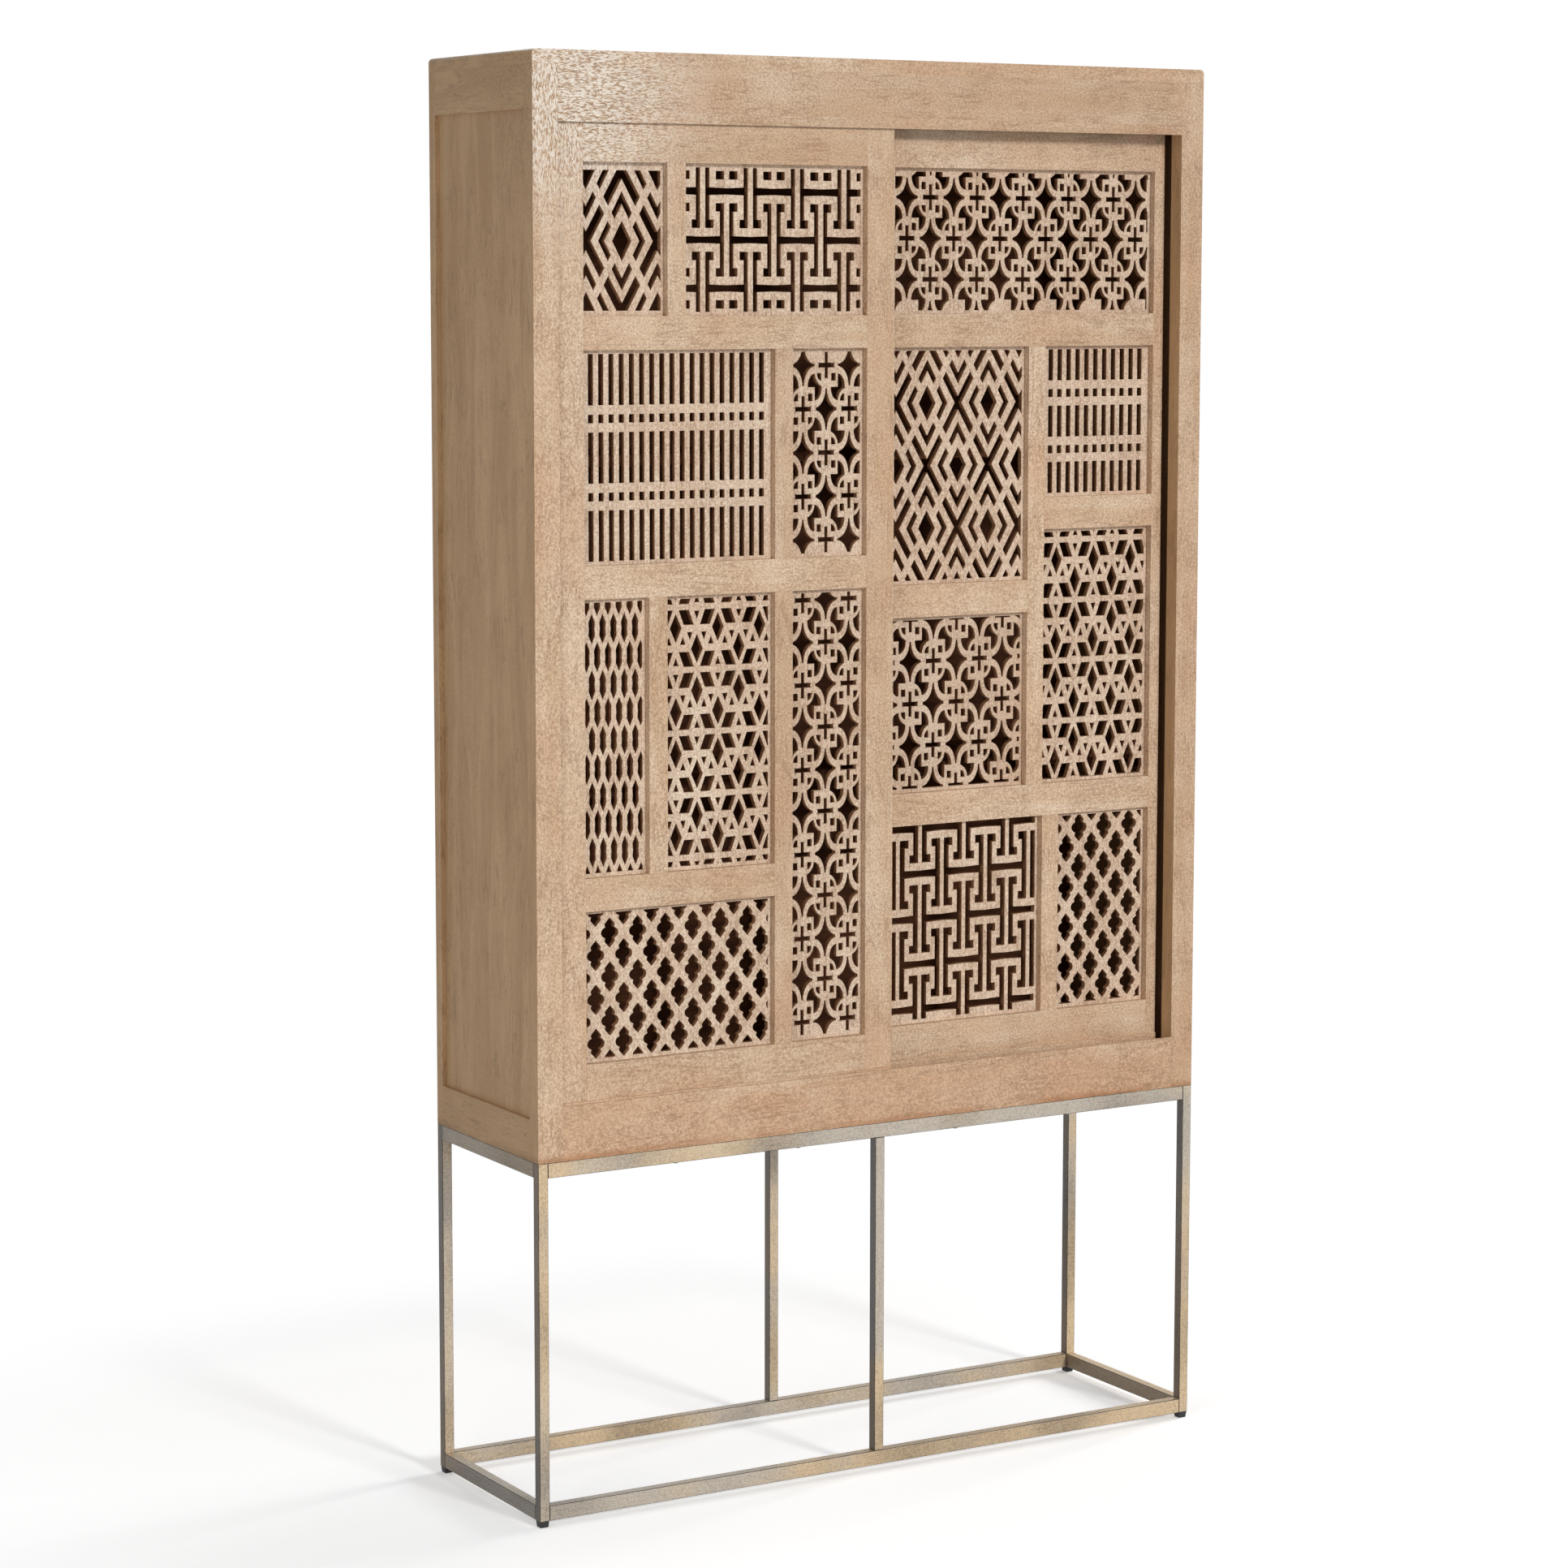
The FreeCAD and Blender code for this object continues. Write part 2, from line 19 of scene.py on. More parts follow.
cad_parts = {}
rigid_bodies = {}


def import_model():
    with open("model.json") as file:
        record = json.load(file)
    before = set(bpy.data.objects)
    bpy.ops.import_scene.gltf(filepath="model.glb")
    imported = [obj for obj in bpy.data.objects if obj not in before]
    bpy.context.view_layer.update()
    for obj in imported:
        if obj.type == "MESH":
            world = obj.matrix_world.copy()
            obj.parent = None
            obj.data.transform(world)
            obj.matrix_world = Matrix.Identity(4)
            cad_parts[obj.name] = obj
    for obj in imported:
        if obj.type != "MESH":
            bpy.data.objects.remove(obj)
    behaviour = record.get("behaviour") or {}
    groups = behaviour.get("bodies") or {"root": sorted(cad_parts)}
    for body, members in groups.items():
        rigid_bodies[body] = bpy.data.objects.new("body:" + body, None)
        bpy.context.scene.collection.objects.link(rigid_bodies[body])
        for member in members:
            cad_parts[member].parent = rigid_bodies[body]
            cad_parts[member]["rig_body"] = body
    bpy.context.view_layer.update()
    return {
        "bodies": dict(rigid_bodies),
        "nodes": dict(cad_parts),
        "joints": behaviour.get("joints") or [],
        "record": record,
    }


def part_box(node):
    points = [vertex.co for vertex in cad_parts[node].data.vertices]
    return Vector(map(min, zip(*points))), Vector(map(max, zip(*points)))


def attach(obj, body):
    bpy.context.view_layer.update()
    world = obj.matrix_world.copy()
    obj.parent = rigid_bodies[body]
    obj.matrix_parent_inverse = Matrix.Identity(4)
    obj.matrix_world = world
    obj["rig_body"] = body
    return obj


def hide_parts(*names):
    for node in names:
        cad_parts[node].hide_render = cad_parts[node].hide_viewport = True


LOG = logging.getLogger("cabinet")
MM = 0.001
PHOTO_WIDTH = 1932
SENSOR_MM = 36.0
SEED = 7
SIGNS = (-1, 1)
NOISE_MEAN = 0.5

Point = tuple[float, float]
Place = tuple[float, float, float]
Colour = tuple[float, float, float, float]
Outline = list[Point]
Plug = Union["Value", NodeSocket, float, tuple]

WHITE: Colour = (1.0, 1.0, 1.0, 1.0)
BLACK: Colour = (0.0, 0.0, 0.0, 1.0)


def tone(red: int, green: int, blue: int) -> Colour:
    """Turn a colour as a screen shows it into the linear colour that a shader takes.

    Args:
        red: red from 0 to 255.
        green: green from 0 to 255.
        blue: blue from 0 to 255.

    Returns:
        The linear colour, opaque.
    """
    parts = [value / 255 for value in (red, green, blue)]
    linear = [p / 12.92 if p <= 0.04045 else ((p + 0.055) / 1.055) ** 2.4 for p in parts]
    return (linear[0], linear[1], linear[2], 1.0)


def stand(name: str, data: Any) -> Object:
    """Put a new object in the scene.

    Args:
        name: its name.
        data: its mesh, lamp or lens.

    Returns:
        The object.
    """
    thing = bpy.data.objects.new(name, data)
    bpy.context.scene.collection.objects.link(thing)
    return thing


class Grain(Enum):
    """The way that a board's grain or a tube's brushing runs."""

    ALONG_X = 0
    ALONG_Y = 1
    ALONG_Z = 2

    def stretch(self, along: float, across: float) -> Place:
        """Give the scale of each axis, with one scale on the grain and one across it."""
        x, y, z = (along if axis == self.value else across for axis in range(3))
        return (x, y, z)


class Value:
    """A number socket that takes part in Python expressions."""

    def __init__(self, sheet: Sheet, socket: NodeSocket) -> None:
        """Wrap a socket of a sheet."""
        self.sheet = sheet
        self.socket = socket

    def __add__(self, other: Plug) -> Value:
        """Add."""
        return self.sheet.math("ADD", self, other)

    def __radd__(self, other: Plug) -> Value:
        """Add, with the value on the right."""
        return self.sheet.math("ADD", other, self)

    def __sub__(self, other: Plug) -> Value:
        """Subtract."""
        return self.sheet.math("SUBTRACT", self, other)

    def __rsub__(self, other: Plug) -> Value:
        """Subtract the value from a number."""
        return self.sheet.math("SUBTRACT", other, self)

    def __mul__(self, other: Plug) -> Value:
        """Multiply."""
        return self.sheet.math("MULTIPLY", self, other)

    def __rmul__(self, other: Plug) -> Value:
        """Multiply, with the value on the right."""
        return self.sheet.math("MULTIPLY", other, self)

    def between(self, low: float, high: float) -> Value:
        """Rise smoothly from 0 at low to 1 at high."""
        sockets = {"Value": self, "From Min": low, "From Max": high}
        return self.sheet.value("ShaderNodeMapRange", {"interpolation_type": "SMOOTHSTEP"}, sockets)


class Sheet:
    """Writes the nodes of one material or of the world."""

    def __init__(self, tree: bpy.types.NodeTree) -> None:
        """Start from an empty tree."""
        self.tree = tree
        tree.nodes.clear()

    def node(self, kind: str, settings: dict[str, Any], sockets: dict[Any, Plug]) -> bpy.types.Node:
        """Add a node, set it up and join its sockets.

        Args:
            kind: the node's type.
            settings: its properties, set before its sockets.
            sockets: a value or a link for each named or numbered input.

        Returns:
            The new node.
        """
        made = self.tree.nodes.new(kind)
        for name, setting in settings.items():
            setattr(made, name, setting)
        for name, plug in sockets.items():
            source = plug.socket if isinstance(plug, Value) else plug
            if isinstance(source, NodeSocket):
                self.tree.links.new(source, made.inputs[name])
            else:
                made.inputs[name].default_value = source
        return made

    def value(self, kind: str, settings: dict[str, Any], sockets: dict[Any, Plug], output: Any = 0) -> Value:
        """Add a node and wrap one of its outputs, by name or number."""
        return Value(self, self.node(kind, settings, sockets).outputs[output])

    def math(self, operation: str, first: Plug, second: Plug) -> Value:
        """Add a Math node on two operands."""
        return self.value("ShaderNodeMath", {"operation": operation}, {0: first, 1: second})

    def vector(self, operation: str, first: Plug, second: Plug) -> NodeSocket:
        """Add a Vector Math node on two operands."""
        return self.node("ShaderNodeVectorMath", {"operation": operation}, {0: first, 1: second}).outputs[0]

    def apart(self, first: Plug, second: Plug) -> Value:
        """Measure how far two places are apart."""
        settings = {"operation": "DISTANCE"}
        return self.value("ShaderNodeVectorMath", settings, {0: first, 1: second}, "Value")

    def axis(self, place: Plug, name: str) -> Value:
        """Take one coordinate of a place."""
        return self.value("ShaderNodeSeparateXYZ", {}, {0: place}, name)

    def mix(self, share: Plug, first: Plug, second: Plug) -> NodeSocket:
        """Mix two colours by a share of the second."""
        settings = {"data_type": "RGBA", "clamp_factor": True}
        return self.node("ShaderNodeMix", settings, {0: share, 6: first, 7: second}).outputs[2]

    def coats(self, base: Plug, *coats: tuple[Plug, Colour]) -> Plug:
        """Lay coats of colour over each other.

        Args:
            base: the colour below.
            coats: the share and the colour of each coat.

        Returns:
            The colour that they make.
        """
        for share, colour in coats:
            base = self.mix(share, base, colour)
        return base

    def contours(self, height: Value, count: float, width: float) -> Value:
        """Draw lines of a width where a height passes each of its steps."""
        return 1 - self.math("PINGPONG", height * count, 0.5).between(0.0, width)

    def place(self) -> NodeSocket:
        """Give the piece's own coordinates, in metres."""
        return self.node("ShaderNodeTexCoord", {}, {}).outputs["Object"]

    def board(self) -> Value:
        """Give the number that each board of a piece has to itself."""
        return self.value("ShaderNodeAttribute", {"attribute_name": "board"}, {}, "Fac")


@dataclass(frozen=True)
class Texture:
    """A noise that may be drawn out along the grain: its scales, its finer layers and its twist."""

    along: float
    across: float
    detail: float = 2.0
    rough: float = 0.5
    twist: float = 0.0

    def on(self, sheet: Sheet, place: Plug, grain: Grain) -> Value:
        """Add it to a sheet.

        Args:
            sheet: the sheet.
            place: the coordinates.
            grain: the way that it runs.

        Returns:
            Its value, about 0.5 on average.
        """
        drawn = sheet.vector("MULTIPLY", place, grain.stretch(self.along, self.across))
        sockets = {"Vector": drawn, "Scale": 1.0, "Detail": self.detail, "Roughness": self.rough,
                   "Distortion": self.twist}
        return sheet.value("ShaderNodeTexNoise", {}, sockets, "Fac")


@dataclass(frozen=True)
class Mark:
    """Where a texture begins to show, where it shows in full, and how strong it is then."""

    low: float
    high: float
    share: float

    def of(self, value: Value) -> Value:
        """Give the share of the mark's colour over a surface."""
        return value.between(self.low, self.high) * self.share


@dataclass(frozen=True)
class Finish:
    """What all finishes have: the way that their grain runs, their name and how they shine."""

    grain: Grain = Grain.ALONG_X
    name: str = "finish"
    each_way: bool = False
    metallic: float = 0.0
    specular: float = 0.5
    roughness: Point = (0.5, 0.2)
    relief_height: float = 0.0

    def make(self) -> Material:
        """Make the material.

        Returns:
            The material, with the way of its grain in its name if it is made for each way.
        """
        way = "_" + self.grain.name.lower() if self.each_way else ""
        material = bpy.data.materials.new(self.name + way)
        material.use_nodes = True
        self.paint(Sheet(material.node_tree))
        return material

    def paint(self, sheet: Sheet) -> None:
        """Write the nodes."""
        raise NotImplementedError

    def draw(self, sheet: Sheet, place: Plug, *textures: Texture) -> list[Value]:
        """Draw textures along the grain."""
        return [texture.on(sheet, place, self.grain) for texture in textures]

    def close(self, sheet: Sheet, base: Plug, worn: Value, height: Value | None = None) -> None:
        """Close the sheet with a principled surface.

        Args:
            sheet: the material's sheet.
            base: the surface's colour.
            worn: what roughens it.
            height: its relief, if it has one.
        """
        rough = self.roughness[0] + worn * self.roughness[1]
        sockets = {"Base Color": base, "Metallic": self.metallic, "Roughness": rough,
                   "Specular IOR Level": self.specular}
        if height is not None:
            relief = {"Strength": 1.0, "Distance": self.relief_height, "Height": height}
            sockets["Normal"] = sheet.node("ShaderNodeBump", {}, relief).outputs[0]
        shader = sheet.node("ShaderNodeBsdfPrincipled", {}, sockets)
        sheet.node("ShaderNodeOutputMaterial", {}, {"Surface": shader.outputs[0]})


@dataclass(frozen=True)
class WashedWood(Finish):
    """Pale washed timber with a soft figure, rosy patches, fine dark fibres, painted shade along the case's
    foot and a painted sheen at the top-left corner.
    """

    name: str = "washed_wood"
    each_way: bool = True
    pale: Colour = tone(235, 213, 185)
    tan: Colour = tone(215, 185, 152)
    rose: Colour = tone(216, 175, 141)
    brown: Colour = tone(120, 87, 60)
    # Colour of the painted sheen at the top-left corner.
    sheen_tint: Colour = tone(238, 230, 218)
    # Colour of the painted shade along the foot of the case, where it sits on the base.
    foot_shade: Colour = tone(172, 116, 72)
    speck: Colour = tone(142, 100, 66)
    figure: Texture = Texture(3.0, 26.0, 4.0, 0.55, 0.7)
    fibre: Texture = Texture(14.0, 420.0, 3.0, 0.6)
    pores: Texture = Texture(60.0, 640.0, 1.0)
    flecks: Texture = Texture(28.0, 190.0, 2.0, 0.6, 0.6)
    sand: Texture = Texture(330.0, 400.0, 1.5, 0.6, 0.3)
    stroke: Texture = Texture(150.0, 560.0, 2.0, 0.6, 0.5)
    cloud: Texture = Texture(7.0, 7.0, 3.0)
    patch: Texture = Texture(16.0, 16.0, 2.0)
    figure_reach: Point = (0.30, 0.72)
    cloud_mark: Mark = Mark(0.40, 0.72, 0.5)
    warm_mark: Mark = Mark(-0.45, 0.5, 0.25)
    # Painted shade at the foot of the case, broken up by the cloud.
    foot_shade_mark: Mark = Mark(0.35, 0.6, 0.7)
    contour_mark: Mark = Mark(0.42, 0.58, 0.34)
    fibre_mark: Mark = Mark(0.50, 0.78, 0.16)
    pore_reach: Point = (0.62, 0.80)
    pore_share: float = 0.30
    fleck_mark: Mark = Mark(0.66, 0.78, 0.40)
    sand_mark: Mark = Mark(0.22, 0.78, 0.72)
    patch_mark: Mark = Mark(0.35, 0.6, 0.2)
    stroke_mark: Mark = Mark(0.50, 0.64, 0.5)
    # Heights over which the painted shade at the foot of the case fades out.
    foot_shade_reach: Point = (0.508, 0.52)
    low_reach: Point = (0.55, 0.60)
    low_rose: float = 0.45
    low_brown: float = 0.1
    # Where the painted sheen at the top-left corner lies, how far it reaches, the gaps between its streaks
    # and how strong it is.
    sheen_place: Place = (-0.49, -0.16, 1.95)
    sheen_reach: Point = (0.03, 0.26)
    sheen_gaps: Point = (0.40, 0.58)
    sheen_share: float = 0.85
    contour_count: float = 13.0
    contour_width: float = 0.2
    board_shift: Place = (37.0, 19.0, 53.0)
    board_share: float = 0.10
    roughness: Point = (0.54, 0.2)
    relief: Place = (0.6, 0.4, 0.5)
    relief_height: float = 0.18 * MM
    specular: float = 0.35

    def paint(self, sheet: Sheet) -> None:
        """Lay figure, patches, fibres, specks, the painted shade at the case's foot and the painted sheen at
        the top-left corner over each other.

        Args:
            sheet: the material's sheet.
        """
        board = sheet.board()
        shift = {name: board * far for name, far in zip("XYZ", self.board_shift)}
        place = sheet.place()
        moved = sheet.vector("ADD", place, sheet.node("ShaderNodeCombineXYZ", {}, shift).outputs[0])
        figure, fibre, pores = self.draw(sheet, moved, self.figure, self.fibre, self.pores)
        flecks, sand, stroke = self.draw(sheet, moved, self.flecks, self.sand, self.stroke)
        cloud, patch = self.draw(sheet, moved, self.cloud, self.patch)
        high = sheet.axis(place, "Z")
        low = (1 - high.between(*self.low_reach)) * (self.low_rose if self.grain is Grain.ALONG_X else 0.0)
        # Painted shade band along the foot of the case, where it meets the base.
        foot = 1 - high.between(*self.foot_shade_reach)
        contour = sheet.contours(figure, self.contour_count, self.contour_width)
        pits = pores.between(*self.pore_reach)
        # Mask about the top-left corner for the painted sheen.
        near = 1 - sheet.apart(place, self.sheen_place).between(*self.sheen_reach)
        base = sheet.coats(
            sheet.mix(figure.between(*self.figure_reach), self.tan, self.pale),
            (self.cloud_mark.of(cloud) + self.warm_mark.of(sheet.axis(place, "X")) + low, self.rose),
            (low * self.low_brown, self.brown),
            # Painted shade along the foot of the case.
            (foot * self.foot_shade_mark.of(cloud), self.foot_shade),
            (contour * self.contour_mark.of(patch), self.brown),
            (self.fibre_mark.of(fibre), self.brown),
            (pits * self.pore_share, self.brown),
            (self.fleck_mark.of(flecks), self.brown),
            (self.sand_mark.of(sand) * (1 - self.patch_mark.share + self.patch_mark.of(patch)), self.speck),
            (board * self.board_share, self.brown),
            # Painted sheen: pale streaks at the top-left corner, with brown strokes between them.
            (near * (1 - stroke.between(*self.sheen_gaps)) * self.sheen_share, self.sheen_tint),
            (near * self.stroke_mark.of(stroke), self.brown))
        height = fibre * self.relief[0] + sand * self.relief[1] - pits * self.relief[2]
        self.close(sheet, base, fibre - NOISE_MEAN, height)


@dataclass(frozen=True)
class ShadedSideWood(WashedWood):
    """The same timber, browner, darker and calmer, for faces that look left, right or back: partly a browner
    finish, partly painted shade.
    """

    name: str = "shaded_side_wood"
    pale: Colour = tone(214, 178, 136)
    tan: Colour = tone(188, 151, 110)
    rose: Colour = tone(191, 153, 112)
    brown: Colour = tone(112, 83, 55)
    # Colour of the painted sheen where it reaches the side faces.
    sheen_tint: Colour = tone(184, 150, 112)
    speck: Colour = tone(122, 91, 61)
    # Colour of the painted shade at the foot of the case on the side pieces.
    foot_shade: Colour = tone(150, 116, 80)
    sand_mark: Mark = Mark(0.22, 0.78, 0.28)
    low_rose: float = 0.0


@dataclass(frozen=True)
class RecessLitWood(WashedWood):
    """A paler copy of the washed timber for the recessed rear door: painted light that makes up for the shade
    of its recess.
    """

    name: str = "recess_lit_wood"
    pale: Colour = tone(243, 223, 196)
    tan: Colour = tone(226, 197, 164)
    rose: Colour = tone(226, 187, 152)


@dataclass(frozen=True)
class FretWood(WashedWood):
    """The paler timber of the pierced panels."""

    grain: Grain = Grain.ALONG_Z
    name: str = "fret_wood"
    pale: Colour = tone(242, 223, 200)
    tan: Colour = tone(230, 207, 182)
    rose: Colour = tone(229, 199, 172)


@dataclass(frozen=True)
class InnerWood(Finish):
    """Dark brown board of the inside, its darkness partly painted shade that keeps the openings dark."""

    name: str = "inner_wood"
    light: Colour = tone(112, 68, 43)
    dark: Colour = tone(80, 47, 29)
    pore: Colour = tone(44, 26, 17)
    figure: Texture = Texture(3.0, 40.0, 4.0, 0.6, 0.5)
    fibre: Texture = Texture(9.0, 330.0, 3.0, 0.6)
    pores: Texture = Texture(45.0, 620.0, 1.0)
    figure_reach: Point = (0.3, 0.7)
    fibre_mark: Mark = Mark(0.45, 0.75, 0.3)
    pore_mark: Mark = Mark(0.6, 0.78, 0.45)
    contour_count: float = 11.0
    contour_width: float = 0.25
    contour_share: float = 0.22
    roughness: Point = (0.62, 0.2)
    specular: float = 0.12

    def paint(self, sheet: Sheet) -> None:
        """Lay contours, fibres and pores over the figure.

        Args:
            sheet: the material's sheet.
        """
        figure, fibre, pores = self.draw(sheet, sheet.place(), self.figure, self.fibre, self.pores)
        contour = sheet.contours(figure, self.contour_count, self.contour_width)
        base = sheet.coats(sheet.mix(figure.between(*self.figure_reach), self.dark, self.light),
                           (contour * self.contour_share + self.fibre_mark.of(fibre), self.pore),
                           (self.pore_mark.of(pores), self.pore))
        self.close(sheet, base, figure - NOISE_MEAN)


@dataclass(frozen=True)
class SawnWood(Finish):
    """The brown walls of the pierced openings."""

    grain: Grain = Grain.ALONG_Y
    name: str = "sawn_wood"
    light: Colour = tone(168, 124, 88)
    dark: Colour = tone(122, 82, 54)
    marks: Texture = Texture(90.0, 500.0)
    patch: Texture = Texture(30.0, 30.0)
    reach: Point = (0.3, 0.7)
    roughness: Point = (0.7, 0.2)
    relief_height: float = 0.2 * MM
    specular: float = 0.12

    def paint(self, sheet: Sheet) -> None:
        """Streak the wood with saw marks.

        Args:
            sheet: the material's sheet.
        """
        marks, patch = self.draw(sheet, sheet.place(), self.marks, self.patch)
        base = sheet.mix((marks * 0.5 + patch * 0.5).between(*self.reach), self.dark, self.light)
        self.close(sheet, base, marks - NOISE_MEAN, marks)


@dataclass(frozen=True)
class TubeMetal(Finish):
    """Brushed tube between silver and brass, with a dull patina."""

    name: str = "tube_metal"
    each_way: bool = True
    silver: Colour = tone(187, 177, 163)
    brass: Colour = tone(209, 184, 149)
    dull: Colour = tone(84, 73, 62)
    brushing: Texture = Texture(30.0, 900.0)
    patch: Texture = Texture(3.0, 3.0, 3.0, 0.6)
    smoke: Texture = Texture(4.0, 4.0)
    spots: Texture = Texture(420.0, 420.0, 2.0, 0.6)
    brass_reach: Point = (0.40, 0.60)
    spot_mark: Mark = Mark(0.35, 0.75, 0.36)
    brushing_mark: Mark = Mark(0.45, 0.8, 0.2)
    smoke_mark: Mark = Mark(0.45, 0.70, 0.35)
    roughness: Point = (0.36, 0.16)
    spot_roughness: Mark = Mark(0.5, 0.75, 0.75)
    metallic: float = 0.4
    relief_height: float = 0.08 * MM

    def paint(self, sheet: Sheet) -> None:
        """Dull the mixed metal with spots, brushing and smoke.

        Args:
            sheet: the material's sheet.
        """
        textures = (self.brushing, self.patch, self.smoke, self.spots)
        brushed, patch, smoky, spots = self.draw(sheet, sheet.place(), *textures)
        worn = self.spot_mark.of(spots) + self.brushing_mark.of(brushed) + self.smoke_mark.of(smoky)
        metal = sheet.mix(patch.between(*self.brass_reach), self.silver, self.brass)
        base = sheet.mix(worn, metal, self.dull)
        self.close(sheet, base, brushed + self.spot_roughness.of(spots), brushed)


@dataclass(frozen=True)
class ShadedTubeUpright(TubeMetal):
    """Painted shade: a darker copy of the metal for the uprights' left and right faces."""

    name: str = "tube_side_shade"
    silver: Colour = tone(104, 100, 96)
    brass: Colour = tone(120, 104, 86)
    dull: Colour = tone(54, 50, 47)


@dataclass(frozen=True)
class ShadedTubeRail(TubeMetal):
    """Painted shade: a greyer, darker copy of the metal for the rails' left and right faces."""

    name: str = "tube_flank_shade"
    silver: Colour = tone(152, 145, 137)
    brass: Colour = tone(158, 141, 119)
    dull: Colour = tone(66, 60, 55)


@dataclass(frozen=True)
class GlidePlastic(Finish):
    """Black moulded plastic of the feet, rubbed paler in specks."""

    name: str = "glide_plastic"
    black: Colour = tone(24, 23, 23)
    worn: Colour = tone(52, 50, 48)
    specks: Texture = Texture(220.0, 220.0, 3.0)
    mark: Mark = Mark(0.5, 0.8, 0.6)

    def paint(self, sheet: Sheet) -> None:
        """Wear the black down in specks."""
        rubbed = self.specks.on(sheet, sheet.place(), self.grain)
        self.close(sheet, sheet.mix(self.mark.of(rubbed), self.black, self.worn), rubbed)


@dataclass(frozen=True)
class TubeEdge(Finish):
    """The dark patina along the edges of the tubes, rubbed off in stretches."""

    name: str = "tube_edge"
    dark: Colour = tone(52, 47, 41)
    worn: Colour = tone(120, 109, 94)
    stretches: Texture = Texture(14.0, 14.0, 3.0, 0.6)
    specks: Texture = Texture(300.0, 300.0)
    shares: Point = (0.6, 0.4)
    mark: Mark = Mark(0.46, 0.64, 0.8)
    metallic: float = 0.4
    roughness: Point = (0.4, 0.2)

    def paint(self, sheet: Sheet) -> None:
        """Rub the patina off.

        Args:
            sheet: the material's sheet.
        """
        stretches, specks = self.draw(sheet, sheet.place(), self.stretches, self.specks)
        rubbed = stretches * self.shares[0] + specks * self.shares[1]
        self.close(sheet, sheet.mix(self.mark.of(rubbed), self.dark, self.worn), rubbed)


@dataclass(frozen=True)
class ScrewSteel(Finish):
    """Zinc steel of the screws under the base's top rails."""

    name: str = "screw_steel"
    bright: Colour = tone(190, 190, 186)
    dull: Colour = tone(120, 118, 112)
    cloud: Texture = Texture(300.0, 300.0)
    metallic: float = 1.0
    roughness: Point = (0.3, 0.2)

    def paint(self, sheet: Sheet) -> None:
        """Cloud the steel."""
        cloud = self.cloud.on(sheet, sheet.place(), self.grain)
        self.close(sheet, sheet.mix(cloud, self.bright, self.dull), cloud)


class Finishes:
    """Every material of the cabinet, made once."""

    def __init__(self) -> None:
        """Write the materials, those of boards and tubes for each way that they run."""
        frontal = (Grain.ALONG_X, Grain.ALONG_Z)
        self.wood = {grain: WashedWood(grain).make() for grain in frontal}
        # Paler copies for the recessed rear door, which are painted light.
        self.pale = {grain: RecessLitWood(grain).make() for grain in frontal}
        # Darker copies for faces that look left, right or back: partly a browner finish, partly painted
        # shade.
        self.side = {grain: ShadedSideWood(grain).make() for grain in Grain}
        self.tube = {grain: TubeMetal(grain).make() for grain in Grain}
        # The tubes' left and right faces take darker copies of the metal, which are painted shade.
        side_shades = {Grain.ALONG_X: ShadedTubeRail, Grain.ALONG_Y: ShadedTubeRail, Grain.ALONG_Z: ShadedTubeUpright}
        self.flank = {grain: patina(grain).make() for grain, patina in side_shades.items()}
        self.fret = FretWood().make()
        self.edge = TubeEdge().make()
        self.inner = InnerWood().make()
        self.sawn = SawnWood().make()
        self.glide = GlidePlastic().make()
        self.screw = ScrewSteel().make()


